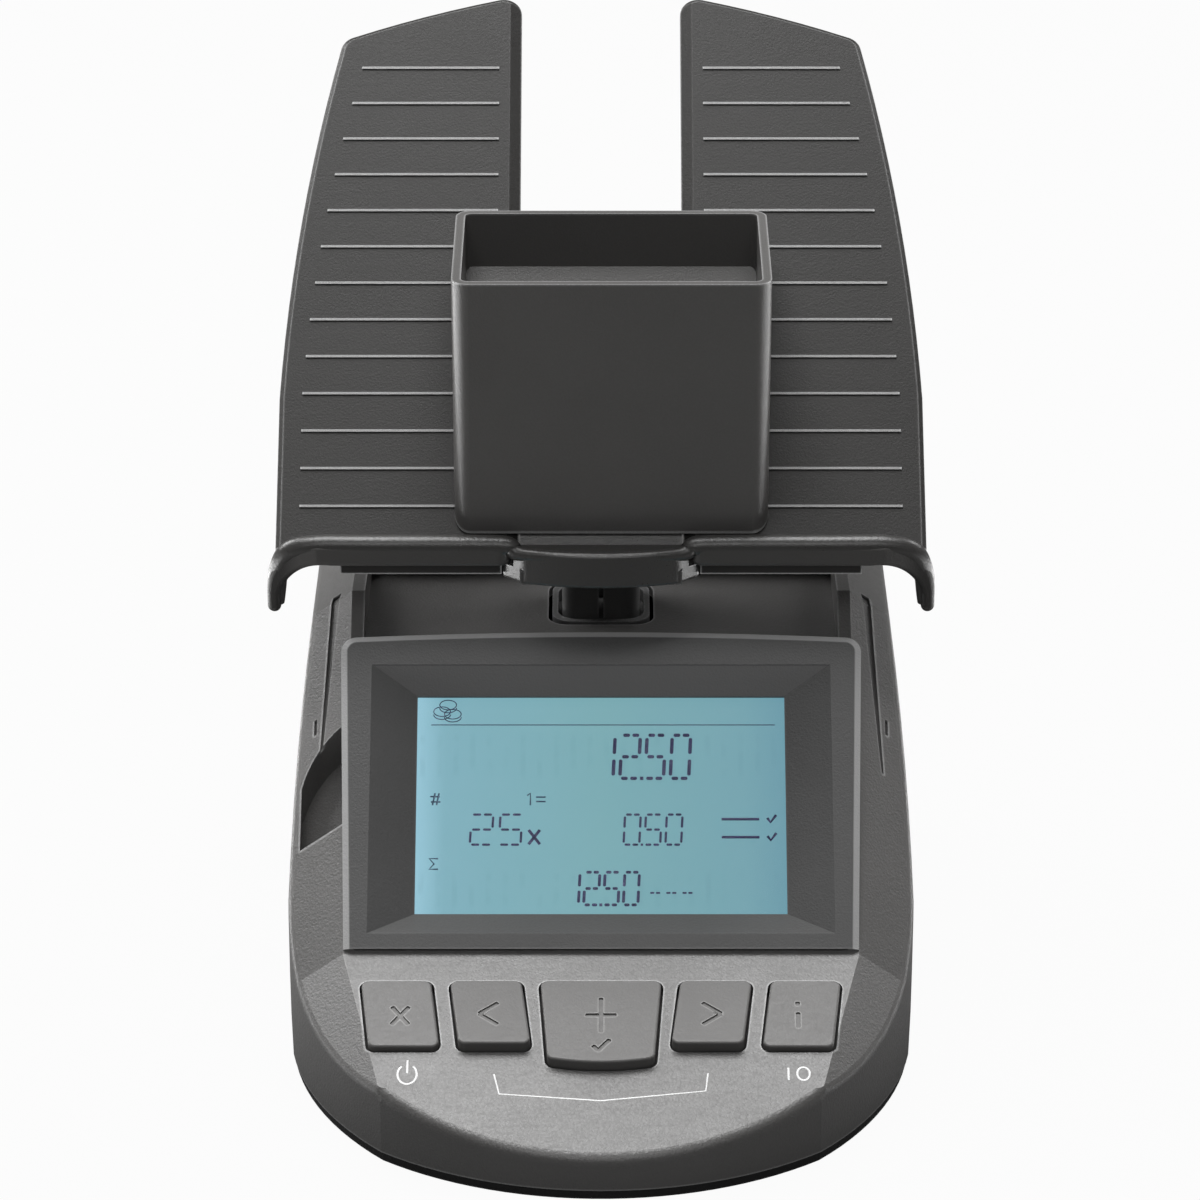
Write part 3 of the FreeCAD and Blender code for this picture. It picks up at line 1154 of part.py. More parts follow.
def make_ledge():
    """The note ledge: a bar whose outer end turns back and droops into a hook, with a strip under it."""
    body = new_body()
    tip = "(lip_top - lip_tip)"
    inside = "(lip_reach - hook_thick)"
    level = "(%s + hook_thick / 2)" % tip
    knuckle = "(%s + hook_thick)" % level
    outline = (
        ("lip_inner", LEDGE_LOW),
        ("lip_knee - hook_thick", LEDGE_LOW),
        ("lip_knee + (%s - lip_knee) * 0.62" % inside, "%s - lip_thick * 0.45" % LEDGE_LOW, "arc"),
        (inside, knuckle),
        (inside, level),
        ("lip_reach - hook_thick / 2", tip, "arc"),
        ("lip_reach", level),
        ("lip_reach", knuckle),
        ("lip_knee + (lip_reach - lip_knee) * 0.72", "lip_top - lip_tip * 0.22", "arc"),
        ("lip_knee", "lip_top"),
        ("lip_inner", "lip_top"),
    )
    pad(body, sketch_on(body, "XZ_Plane", outline, "-(lip_front + lip_depth)"), "lip_depth")
    far = "(lip_reach + hook_thick)"
    turn = body.newObject("PartDesign::Pocket", "Turn")
    turn.Profile = sketch_on(body, "XY_Plane", (
        ("lip_knee", "lip_front"),
        ("lip_knee", "lip_front - lip_depth"),
        (far, "lip_front - lip_depth"),
        (far, "lip_front + lip_turn"),
    ))
    turn.Midplane = True
    turn.setExpression("Length", bound("4 * lip_top"))
    front = value("lip_front")
    bent = soften(body, turn, lambda edge: upright(edge) and abs(edge.CenterOfMass.y - front) < 0.01, "lip_corner")
    back = front + 0.9 * value("lip_depth")
    end = value("lip_inner") + 0.01
    soften(body, bent, lambda edge: edge.CenterOfMass.y < back and not upright(edge)
           and (not lengthwise(edge) or edge.CenterOfMass.x < end), "lip_round")
    start = "(hub_width / 2 + run_gap)"
    strip = box(BASE, start, "lip_front + lip_depth / 2", LEDGE_LOW + " - strip_height",
                "lip_knee - lip_depth - %s" % start, "lip_depth / 2", "strip_height + lip_thick / 2")
    return fuse(body, strip)


def make_hub():
    """The curved front of the tray's middle, with splayed flanks that run in under the ledges."""
    body = new_body()
    nose = "(hub_nose / 2)"
    half = "(hub_width / 2)"
    side = "(hub_front + hub_bulge)"
    back = "(%s + hub_flank)" % side
    outline = (
        ("-" + nose, side),
        ("0", "hub_front", "arc"),
        (nose, side),
        (half, back),
        ("-" + half, back),
    )
    block = pad(body, sketch_on(body, "XY_Plane", outline, "hub_top - hub_height"), "hub_height")
    depth = value(back) - 0.01
    middle = value("(%s + %s) / 2" % (side, back))
    corners = soften(body, block, lambda edge: upright(edge) and edge.CenterOfMass.y < middle, "hub_round")
    soften(body, corners, lambda edge: not upright(edge) and edge.CenterOfMass.y < depth, "hub_edge")
    notch = box(BASE, "lip_inner - run_gap", "lip_front - run_gap", LEDGE_LOW + " - run_gap",
                "hub_width", "hub_width", "4 * hub_height")
    return cut(body, notch, mirrored(notch))


def over_slope(level):
    """What lies above a level over the note slope."""
    return middle_box(TRAY, "-wing_length", level, "4 * wing_half", "3 * wing_length", "2 * wing_length")


def under_slope(level):
    """What lies below a level over the note slope."""
    return middle_box(TRAY, "-wing_length", "(%s) - 2 * wing_length" % level, "4 * wing_half",
                      "3 * wing_length", "2 * wing_length")


def make_cradle():
    """The middle of the tray: a hollow wedge between the wings, the hub in front and the socket for the post."""
    side = "(hub_front + hub_bulge)"
    under = "(hub_top - hub_height)"
    run = "(%s - %s)" % (CRADLE_BACK, side)
    inside = "(%s - 2 * cradle_wall)" % CRADLE_WIDTH
    wedge = middle_box(BASE, side, under, CRADLE_WIDTH, run, "housing_height")
    room = middle_box(BASE, CUP_FRONT, CRADLE_FLOOR, inside, "2 * " + run, "housing_height")
    hollow = middle_box(BASE, CUP_FRONT, under + " - hub_height", inside, run + " - hub_height",
                        "post_top - %s + hub_height" % under)
    shell = cut(wedge, over_slope("0"), cut(room, over_slope("-cradle_wall")), hollow)
    flange = box(TRAY, "%s / 2 - cradle_wall / 2" % CRADLE_WIDTH, "flange_front", "-(wing_thick + flange_thick)",
                 "flange_width + cradle_wall / 2", FLANGE_RUN, "flange_thick")
    sleeve = prism(BASE, "XY_Plane", square("(post_width + 2 * run_gap + 2 * socket_wall)"),
                   "post_top - socket_depth", "socket_depth + cradle_wall / 2")
    bore = prism(BASE, "XY_Plane", square("(post_width + 2 * run_gap)"), "post_top - 2 * socket_depth",
                 "2 * socket_depth")
    whole = fuse(shell, make_hub(), sleeve, flange, mirrored(flange))
    holes = drill(TRAY, WING_SCREWS, "-(wing_thick + 2 * flange_thick)", "wing_screw", "2 * flange_thick")
    part("tray_cradle", cut(whole, bore, *holes))
    part("wing_screws", group([
        screw(TRAY, x, y, "-(wing_thick + flange_thick)", "wing_screw_head", "wing_screw / 2", "wing_screw",
              "flange_thick + wing_thick * 0.7 - fit_gap") for x, y in WING_SCREWS]))


def cup_block(shrink, level):
    """A block with round corners that widens upward and stands on the note slope."""
    spread = "(cup_height * tan(cup_taper) + (%s))" % shrink
    front = "(%s + %s)" % (CUP_FRONT, spread)
    rear = "(%s + cup_depth - %s)" % (CUP_FRONT, spread)
    outline = round_rect("(cup_width - 2 * %s)" % spread, front, rear, "(cup_round - (%s))" % shrink, "cup_shift")
    return cut(prism(BASE, "XY_Plane", outline, CRADLE_FLOOR, "cup_height + (%s)" % shrink, "-cup_taper"),
               under_slope(level))


def make_cup():
    """The loose coin cup, whose floor is as steep as the slope that it stands on."""
    rest = "rib_height + fit_gap"
    part("coin_cup", cut(cup_block("0", rest), cup_block("cup_wall", rest + " + cup_floor")))


make_housing()
make_pan()
make_key("plus_key")
part("left_key", mirrored(make_key("right_key")))
part("clear_key", mirrored(make_key("info_key")))
make_electronics()
make_ports()
make_screen()
make_load_cell()
make_platform()
make_power()
make_fasteners()
make_wings()
make_cradle()
make_cup()
doc.recompute()

for item in doc.Objects:
    if "Invalid" in item.State or "Error" in item.State:
        raise RuntimeError("%s (%s) failed: %s" % (item.Label, item.Name, item.State))
for item in PARTS:
    if item.Shape.isNull() or not item.Shape.isValid() or not item.Shape.Solids:
        raise RuntimeError("%s has no sound solid" % item.Label)

os.makedirs("parts", exist_ok=True)
for item in PARTS:
    item.Shape.exportStep(os.path.join("parts", item.Label + ".step"))
    print(item.Label, len(item.Shape.Solids), "solids", round(item.Shape.Volume / 1000, 2), "cm3")
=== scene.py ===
import math

import bmesh
import bpy
from mathutils import Matrix, Vector


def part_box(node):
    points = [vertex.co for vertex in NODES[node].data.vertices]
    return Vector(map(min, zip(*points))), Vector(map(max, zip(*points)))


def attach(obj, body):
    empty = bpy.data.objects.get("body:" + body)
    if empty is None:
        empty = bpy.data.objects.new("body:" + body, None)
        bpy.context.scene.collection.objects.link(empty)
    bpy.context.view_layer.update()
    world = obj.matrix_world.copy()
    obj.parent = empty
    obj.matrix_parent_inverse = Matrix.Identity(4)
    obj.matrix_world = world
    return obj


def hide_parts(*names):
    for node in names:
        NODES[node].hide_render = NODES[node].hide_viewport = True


# Looks of a counting scale: moulded plastics, a lit display with its figures, engraved keys and
# panel print. Lengths are in metres, apart from the tables that say millimetres.
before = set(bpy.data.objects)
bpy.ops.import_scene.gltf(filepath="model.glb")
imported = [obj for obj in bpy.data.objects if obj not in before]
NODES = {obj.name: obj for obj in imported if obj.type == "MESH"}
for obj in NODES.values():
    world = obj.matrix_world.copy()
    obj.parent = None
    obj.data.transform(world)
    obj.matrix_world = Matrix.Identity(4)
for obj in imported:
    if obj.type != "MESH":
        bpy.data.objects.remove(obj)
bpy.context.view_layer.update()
MM = 0.001

# Sloping faces of the scale: the slopes, the key panel's rear edge and the display glass's thickness.
PANEL_SLOPE = math.radians(22)
SCREEN_SLOPE = math.radians(43)
PANEL_REAR = Vector((0, -0.06129, 0.037))
GLASS_THICK = 0.0016

# Camera of the photograph; the shift is one of its 1200 pixels.
VIEW_ELEVATION = math.radians(23.5)
VIEW_DISTANCE = 1.3
VIEW_TARGET = Vector((0, 0.00591, 0.1024))
LENS = 154.83
SENSOR = 36
SHIFT_X = -1 / 1200
CLIP_END = 50


def sloped(origin, slope):
    """Millimetres on a sloping face to the scale's own metres."""
    return Matrix.Translation(origin) @ Matrix.Rotation(slope, 4, "X") @ Matrix.Scale(MM, 4)


def lcd_face():
    """The face of the display glass: x from the middle, y up from the glass's lower edge."""
    low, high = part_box("lcd_panel")
    edge = Vector((0, low.y, low.z + GLASS_THICK * math.cos(SCREEN_SLOPE)))
    return sloped(edge, SCREEN_SLOPE)


PANEL = sloped(PANEL_REAR, PANEL_SLOPE)
LCD = lcd_face()

# Sockets of the Mix node that are colours, by number.
MIX_FIRST, MIX_SECOND, MIX_RESULT = 6, 7, 2
NOISE_ROUGHNESS = 0.55
EDGE_SAMPLES = 6
EDGE_LEVEL, EDGE_SOFT = 0.22, 0.18


class Socket:
    """One output of a finish's nodes. Arithmetic on it adds Math nodes."""

    def __init__(self, finish, source):
        self.finish = finish
        self.source = source

    def math(self, operation, *others):
        inputs = dict(enumerate((self,) + others))
        return self.finish.node("Math", {"operation": operation}, inputs)

    def __add__(self, other):
        return self.math("ADD", other)

    def __sub__(self, other):
        return self.math("SUBTRACT", other)

    def __rsub__(self, other):
        return self.finish.node("Math", {"operation": "SUBTRACT"}, {0: other, 1: self})

    def __mul__(self, other):
        return self.math("MULTIPLY", other)

    def __truediv__(self, other):
        return self.math("DIVIDE", other)

    __radd__ = __add__
    __rmul__ = __mul__

    def above(self, level, soft):
        """0 below a level and 1 above it, with a soft step."""
        settings = {"interpolation_type": "SMOOTHSTEP"}
        return self.finish.node("MapRange", settings, {0: self, 1: level - soft, 2: level + soft})

    def within(self, low, high, soft):
        """1 between two levels, with soft ends."""
        return self.above(low, soft) * (1 - self.above(high, soft))


class Finish:
    """A material under construction."""

    def __init__(self, name):
        self.material = bpy.data.materials.new(name)
        self.material.use_nodes = True
        self.tree = self.material.node_tree
        self.tree.nodes.clear()
        self.place = self.node("TexCoord", out="Object")

    def node(self, kind, settings=None, inputs=None, out=0):
        """Adds a node: its settings first, then values or links of its sockets."""
        made = self.tree.nodes.new("ShaderNode" + kind)
        for name, setting in (settings or {}).items():
            if name == "stops":
                self.set_stops(made.color_ramp, setting)
            else:
                setattr(made, name, setting)
        for key, entry in (inputs or {}).items():
            if isinstance(entry, Socket):
                self.tree.links.new(entry.source, made.inputs[key])
            else:
                made.inputs[key].default_value = entry
        return Socket(self, made.outputs[out]) if made.outputs else None

    def set_stops(self, ramp, stops):
        """Colours of a ramp by position."""
        while len(ramp.elements) < len(stops):
            ramp.elements.new(0.5)
        for element, (position, colour) in zip(ramp.elements, stops):
            element.position = position
            element.color = colour

    def ramp(self, mask, stops):
        return self.node("ValToRGB", {"stops": stops}, {0: mask})

    def mix(self, mask, first, second):
        """One colour over another by a mask."""
        inputs = {0: mask, MIX_FIRST: first, MIX_SECOND: second}
        return self.node("Mix", {"data_type": "RGBA"}, inputs, MIX_RESULT)

    def turned(self, origin, slope):
        """Coordinates on a sloping face."""
        back = self.node("VectorMath", {"operation": "SUBTRACT"}, {0: self.place, 1: origin})
        turn = {"rotation_type": "X_AXIS"}
        return self.node("VectorRotate", turn, {"Vector": back, "Angle": -slope})

    def axes(self, place):
        """x, y and z of a place."""
        split = self.node("SeparateXYZ", None, {0: place})
        return [Socket(self, output) for output in split.source.node.outputs]

    def stretched(self, scale):
        return self.node("Mapping", None, {"Vector": self.place, "Scale": scale})

    def noise(self, size, detail, place=None):
        """Soft noise whose lumps are about a size."""
        inputs = {"Vector": place or self.place, "Scale": 1 / size}
        inputs |= {"Detail": detail, "Roughness": NOISE_ROUGHNESS}
        return self.node("TexNoise", None, inputs)

    def cells(self, size, feature="F1"):
        """Distance to scattered points about a size apart."""
        inputs = {"Vector": self.place, "Scale": 1 / size}
        return self.node("TexVoronoi", {"feature": feature}, inputs)

    def edges(self, reach):
        """1 along outward edges of the piece, 0 away from them."""
        settings = {"samples": EDGE_SAMPLES, "inside": True, "only_local": True}
        open_share = self.node("AmbientOcclusion", settings, {"Distance": reach}, "AO")
        return (1 - open_share).above(EDGE_LEVEL, EDGE_SOFT)

    def bump(self, height, depth):
        return self.node("Bump", None, {"Height": height, "Distance": depth})

    def shade(self, **inputs):
        """Ends the finish in a Principled shader; keys are its socket names with underscores."""
        named = {name.replace("_", " "): entry for name, entry in inputs.items()}
        shader = self.node("BsdfPrincipled", None, named)
        self.node("OutputMaterial", None, {0: shader})
        return self.material


def tone(grey, warm=0.0):
    """A grey from its value on an 8-bit scale, a little warm or cool, as a linear colour."""
    return [((grey + shift) / 255) ** 2.2 for shift in (warm, 0, -warm)] + [1]


def colour(red, green, blue):
    """A linear colour from 8-bit values."""
    return [(level / 255) ** 2.2 for level in (red, green, blue)] + [1]


# What the moulded plastics share: sizes, and what each pattern does to height, colour and roughness.
PIT_SPACING = 1.7
CLOUD_SIZE = 0.03
SCUFF_SIZE = 0.0016
SCUFF_STRETCH = (0.25, 1.0, 1.6)
LUMP_HEIGHT, PIT_HEIGHT, SCUFF_HEIGHT = 0.65, 0.35, 0.1
GRAIN_TINT, CLOUD_TINT = 0.55, 0.45
# Shares of the painted edge highlight in the colour: the least, and how much the lumps add.
LEAST_WEAR_AND_HIGHLIGHT, LUMP_WEAR_AND_HIGHLIGHT = 0.7, 0.6
CLOUD_GLOSS, SCUFF_GLOSS, PIT_GLOSS, WORN_GLOSS = 0.12, 0.1, 0.12, 0.1
MEAN_NOISE, MEAN_PIT = 0.5, 0.4


def moulded(finish, base, lift, worn, grain, depth, rough, edge_reach=0.0006, edge_share=0.6):
    """Moulded plastic: spark-eroded grain, faint flow clouds, and edges rubbed smoother and painted
    paler as a highlight.
    """
    pits = finish.cells(grain * PIT_SPACING)
    lumps = finish.noise(grain, 3)
    texture = lumps * LUMP_HEIGHT + pits * PIT_HEIGHT
    clouds = finish.noise(CLOUD_SIZE, 4)
    scuffs = finish.noise(SCUFF_SIZE, 3, finish.stretched(SCUFF_STRETCH))
    shade = finish.mix(texture * GRAIN_TINT + clouds * CLOUD_TINT, base, lift)
    # Painted highlight: outward edges are lightened in the colour, standing for glints as well as wear;
    # their lower roughness is real.
    rubbed_and_highlit = finish.edges(edge_reach)
    shade = finish.mix(rubbed_and_highlit * edge_share * (LEAST_WEAR_AND_HIGHLIGHT + LUMP_WEAR_AND_HIGHLIGHT * lumps), shade, worn)
    gloss = rough + (clouds - MEAN_NOISE) * CLOUD_GLOSS + (scuffs - MEAN_NOISE) * SCUFF_GLOSS
    gloss = gloss + (pits - MEAN_PIT) * PIT_GLOSS - rubbed_and_highlit * WORN_GLOSS
    normal = finish.bump(texture + SCUFF_HEIGHT * scuffs, depth)
    return shade, gloss, normal


def moulded_finish(name, specular=0.5, **surface):
    """A finish that is the same moulded plastic all over."""
    finish = Finish(name)
    shade, gloss, normal = moulded(finish, **surface)
    return finish.shade(
        Base_Color=shade, Roughness=gloss, Normal=normal, Specular_IOR_Level=specular
    )


# The display frame as seen square on, from the middle of the scale's foot: where its bevelled outer
# edge starts, the bevel's two levels, the level of its face, the mitred corners between the sunk
# facets, and the levels where the upper and the lower facet start.
FRAME_EDGE, FRAME_SOFT = 0.0605, 0.0003
BEVEL_LOW, BEVEL_HIGH, FACE_LEVEL, LEVEL_SOFT = 0.0675, 0.06985, 0.0698, 0.0001
MITRE_START, MITRE_RISE = 0.046, 0.59
UPPER_FACET, LOWER_FACET, FACET_SOFT = 0.0502, -0.0078, 0.0002
BEVEL_HIGHLIGHT, FACET_LIGHT_AND_SHADE = 0.7, 0.8


def bezel_finish():
    """Display frame: a painted highlight along its bevelled outer edge, painted light on the upper
    facet and painted shade on the lower one.
    """
    finish = Finish("bezel_grain")
    shade, gloss, normal = moulded(
        finish, base=tone(62), lift=tone(80), worn=tone(120),
        grain=0.0004, depth=0.00009, rough=0.44, edge_share=0.5,
    )
    across, up, out = finish.axes(finish.turned((0, 0, 0), SCREEN_SLOPE))
    aside = across.math("ABSOLUTE")
    far = aside.above(FRAME_EDGE, FRAME_SOFT).math("MAXIMUM", up.above(FRAME_EDGE, FRAME_SOFT))
    bevel = out.within(BEVEL_LOW, BEVEL_HIGH, LEVEL_SOFT)
    # Painted highlight along the bevelled outer edge.
    shade = finish.mix(far * bevel * BEVEL_HIGHLIGHT, shade, tone(165))
    # Painted light on the upper facet and painted shade on the lower one; the modelled facets are
    # steeper than the real ones.
    mitre = ((aside - MITRE_START) * MITRE_RISE).math("MAXIMUM", 0.0)
    sunk = (1 - out.above(FACE_LEVEL, LEVEL_SOFT)) * (1 - far)
    upper = (up - mitre).above(UPPER_FACET, FACET_SOFT)
    shade = finish.mix(sunk * upper * FACET_LIGHT_AND_SHADE, shade, tone(112))
    lower = 1 - (up + mitre).above(LOWER_FACET, FACET_SOFT)
    shade = finish.mix(sunk * lower * FACET_LIGHT_AND_SHADE, shade, tone(67))
    return finish.shade(Base_Color=shade, Roughness=gloss, Normal=normal, Specular_IOR_Level=0.4)


# The ledge's front, which is painted paler as light, lies before this place along the scale.
PAINTED_LIGHT_FRONT, PAINTED_LIGHT_SOFT, PAINTED_LIGHT_SHARE = 0.0, 0.0006, 0.8


def tray_finish():
    """Charcoal tray: its lines and rims bright with rubbed wear and painted highlight, and its front
    painted paler as light.
    """
    finish = Finish("tray_grain")
    shade, gloss, normal = moulded(
        finish, base=tone(36, 1), lift=tone(47, 1), worn=tone(180),
        grain=0.00038, depth=0.00006, rough=0.42, edge_reach=0.0005, edge_share=0.9,
    )
    # Painted light: the tray's front, before the ledge, is lightened in the colour.
    along = finish.axes(finish.place)[1]
    painted_front_light = 1 - along.above(PAINTED_LIGHT_FRONT, PAINTED_LIGHT_SOFT)
    shade = finish.mix(painted_front_light * PAINTED_LIGHT_SHARE, shade, tone(74, 1))
    return finish.shade(Base_Color=shade, Roughness=gloss, Normal=normal, Specular_IOR_Level=0.3)


def rubber_finish(name, low, high):
    """Matt rubber with a dusty bloom, paler along its edges."""
    finish = Finish(name)
    bloom = finish.noise(0.004, 4)
    grain = finish.noise(0.0004, 3)
    shade = finish.mix(bloom, tone(low), tone(high))
    shade = finish.mix(finish.edges(0.0008) * 0.4, shade, tone(high + 25))
    normal = finish.bump(grain, 0.0001)
    return finish.shade(Base_Color=shade, Roughness=0.75 + grain * 0.2, Normal=normal)


def metal_finish(name, base, lift, size, rough):
    """Drawn or turned metal with fine scratches and dull patches."""
    finish = Finish(name)
    brushed = finish.noise(size, 4, finish.stretched((1.0, 0.05, 1.0)))
    dull = finish.noise(0.006, 3)
    shade = finish.mix(brushed * 0.6 + dull * 0.4, base, lift)
    shade = finish.mix(finish.edges(0.0004) * 0.5, shade, tone(225))
    gloss = rough + (brushed - MEAN_NOISE) * 0.2 + (dull - MEAN_NOISE) * 0.15
    normal = finish.bump(brushed, 0.00003)
    return finish.shade(Base_Color=shade, Roughness=gloss, Normal=normal, Metallic=0.95)


def board_finish():
    """Green circuit board with copper tracks under lacquer."""
    finish = Finish("board_lacquer")
    tracks = finish.cells(0.003, "DISTANCE_TO_EDGE").above(0.09, 0.02)
    weave = finish.noise(0.0005, 2)
    shade = finish.mix(tracks, colour(36, 96, 58), colour(18, 62, 36))
    shade = finish.mix(weave * 0.25, shade, colour(60, 110, 70))
    normal = finish.bump(1 - tracks, 0.00005)
    gloss = 0.32 + weave * 0.15
    return finish.shade(Base_Color=shade, Roughness=gloss, Normal=normal, Coat_Weight=0.3)


# The battery sleeve's band along the scale's width.
BAND_LEFT, BAND_RIGHT, BAND_SOFT = 0.012, 0.019, 0.0003


def battery_finish():
    """Wrapped battery cells: dark sleeve with a plain silver band."""
    finish = Finish("battery_sleeve")
    across = finish.axes(finish.place)[0]
    band = across.within(BAND_LEFT, BAND_RIGHT, BAND_SOFT)
    scuffs = finish.noise(0.001, 4)
    shade = finish.mix(band, tone(38), tone(150))
    shade = finish.mix(scuffs.above(0.62, 0.05) * 0.3, shade, tone(120))
    return finish.shade(Base_Color=shade, Roughness=0.28 + scuffs * 0.2, Coat_Weight=0.2)


def light_guide_finish():
    """Milky acrylic sheet behind the display glass."""
    finish = Finish("light_guide_acrylic")
    dots = finish.cells(0.0012).above(0.35, 0.1)
    shade = finish.mix(dots, colour(214, 232, 236), colour(190, 216, 222))
    return finish.shade(Base_Color=shade, Roughness=0.3 + dots * 0.1)


# The display's glow by share of its width, and its unlit figures: two rows above the glass's lower
# edge, with upright strokes by radians to the metre.
GLOW = (
    (0.04, colour(158, 204, 222)),
    (0.11, colour(134, 180, 194)),
    (0.5, colour(128, 174, 182)),
    (0.86, colour(122, 166, 178)),
    (0.97, colour(112, 156, 172)),
)
UPPER_ROW = (0.042, 0.053)
LOWER_ROW = (0.0072, 0.0162)
ROW_SOFT = 0.001
UNLIT_STROKES = 1500


def lcd_finish():
    """Lit display glass: pale teal, brightest along its left edge, with faint rows of unlit figures."""
    finish = Finish("lcd_light")
    low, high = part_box("lcd_panel")
    across, up = finish.axes(finish.turned(low, SCREEN_SLOPE))[:2]
    glow =finish.ramp(across / (high.x - low.x), GLOW)
    clouds = finish.noise(0.02, 3)
    glow = finish.mix(clouds * 0.22, glow, colour(112, 164, 172))
    rows = up.within(*UPPER_ROW, ROW_SOFT) + up.within(*LOWER_ROW, ROW_SOFT)
    strokes = (across * UNLIT_STROKES).math("SINE").above(0.55, 0.3)
    ghost = rows * strokes * finish.noise(0.006, 2).above(0.5, 0.1)
    glow = finish.mix(ghost * 0.12, glow, colour(96, 140, 152))
    return finish.shade(
        Base_Color=tone(20),
        Roughness=0.4 + clouds * 0.1,
        Specular_IOR_Level=0.05,
        Emission_Color=glow,
        Emission_Strength=0.95,
    )


def window_finish():
    """Clear display window with faint wiping marks."""
    finish = Finish("window_clear")
    smears = finish.noise(0.009, 4, finish.stretched((0.4, 1.0, 1.0)))
    return finish.shade(
        Base_Color=[0.96, 0.98, 0.98, 1],
        Roughness=0.02 + smears * 0.06,
        Transmission_Weight=1.0,
        IOR=1.12,
    )


def ink_finish(name, size, dark, pale):
    """Ink of the display, a little uneven."""
    finish = Finish(name)
    fade = finish.noise(size, 2)
    shade = finish.mix(fade, dark, pale)
    return finish.shade(Base_Color=shade, Roughness=0.5 + fade * 0.2)


def segment_finish():
    """Dark blue-violet of lit display figures."""
    return ink_finish("figure_ink", 0.004, colour(14, 8, 56), colour(26, 16, 72))


def caption_finish():
    """Fainter signs of the display."""
    return ink_finish("caption_ink", 0.003, colour(34, 54, 76), colour(48, 72, 94))


def print_finish():
    """Off-white screen print on the key panel."""
    finish = Finish("panel_ink")
    speckle = finish.noise(0.0004, 3)
    shade = finish.mix(speckle.above(0.62, 0.08), tone(232), tone(196))
    normal = finish.bump(speckle, 0.00003)
    return finish.shade(Base_Color=shade, Roughness=0.5 + speckle * 0.2, Normal=normal)


# Warm grey key caps, and the note ledge's crest, rubbed smooth by hands and notes.
KEY_CAP = moulded_finish(
    "key_cap_satin", specular=0.4, base=tone(83, 1), lift=tone(97, 1), worn=tone(140, 1),
    grain=0.0005, depth=0.00005, rough=0.42, edge_reach=0.0005,
)
LEDGE = moulded_finish(
    "ledge_satin", specular=0.6, base=tone(46, 1), lift=tone(58, 1), worn=tone(110),
    grain=0.00038, depth=0.00007, rough=0.32,
)
SLOT_FINISHES = {
    "housing": moulded_finish(
        "housing_grain", specular=0.8, base=tone(66, 1), lift=tone(86, 1), worn=tone(150),
        grain=0.00045, depth=0.0001, rough=0.42,
    ),
    "bezel": bezel_finish(),
    "pan": moulded_finish(
        "pan_grain", specular=0.35, base=tone(24), lift=tone(34), worn=tone(60),
        grain=0.0008, depth=0.00018, rough=0.5,
    ),
    "tray": tray_finish(),
    "cup": moulded_finish(
        "cup_satin", specular=0.35, base=tone(74, 1), lift=tone(88, 1), worn=tone(150),
        grain=0.00035, depth=0.00006, rough=0.34, edge_share=0.7,
    ),
    "post": moulded_finish(
        "post_satin", specular=0.4, base=tone(80), lift=tone(96), worn=tone(130),
        grain=0.0004, depth=0.00005, rough=0.36,
    ),
    "key": KEY_CAP,
    "window": window_finish(),
    "lcd": lcd_finish(),
    "light_guide": light_guide_finish(),
    "circuit_board": board_finish(),
    "key_rubber": rubber_finish("key_mat_rubber", low=58, high=74),
    "foot_rubber": rubber_finish("foot_rubber", low=24, high=36),
    "black_plastic": moulded_finish(
        "black_plastic_satin", base=tone(20), lift=tone(30), worn=tone(55),
        grain=0.0004, depth=0.00005, rough=0.4,
    ),
    "port_shell": metal_finish("port_shell_steel", tone(150), tone(190), size=0.0005, rough=0.3),
    "alloy": metal_finish("load_cell_alloy", tone(160), tone(196), size=0.0007, rough=0.36),
    "steel": metal_finish("zinc_steel", tone(130), tone(176), size=0.0005, rough=0.34),
    "battery": battery_finish(),
}


def dress_nodes():
    """Gives every CAD node the finish of its slot; the cradle is as smooth as the ledge."""
    for node in NODES.values():
        slot = node.material_slots[0].material.name
        node.material_slots[0].material = SLOT_FINISHES[slot]
    NODES["tray_cradle"].material_slots[0].material = LEDGE


def new_object(name, data):
    """An object in the scene."""
    made = bpy.data.objects.new(name, data)
    bpy.context.scene.collection.objects.link(made)
    return made


def new_piece(name, mesh, finish, body):
    """A finished piece that rides on a body."""
    piece = new_object(name, mesh)
    mesh.materials.clear()
    mesh.materials.append(finish)
    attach(piece, body)
    return piece


def mesh_of(shape, name):
    """A mesh from a bmesh, which is then freed."""
    mesh = bpy.data.meshes.new(name)
    shape.to_mesh(mesh)
    shape.free()
    return mesh


def evaluated_mesh(holder):
    """A mesh of an object as its curve or its modifiers shape it."""
    bpy.context.view_layer.update()
    depsgraph = bpy.context.evaluated_depsgraph_get()
    return bpy.data.meshes.new_from_object(holder.evaluated_get(depsgraph))


def round_curve(name, radius, resolution):
    """An empty curve that is round and closed at its ends."""
    curve = bpy.data.curves.new(name, "CURVE")
    curve.dimensions = "3D"
    curve.bevel_depth = radius
    curve.bevel_resolution = resolution
    curve.use_fill_caps = True
    return curve


def mesh_of_curve(curve, name):
    """A mesh from a curve, which is then removed."""
    holder = new_object(name, curve)
    mesh = evaluated_mesh(holder)
    bpy.data.objects.remove(holder)
    bpy.data.curves.remove(curve)
    return mesh


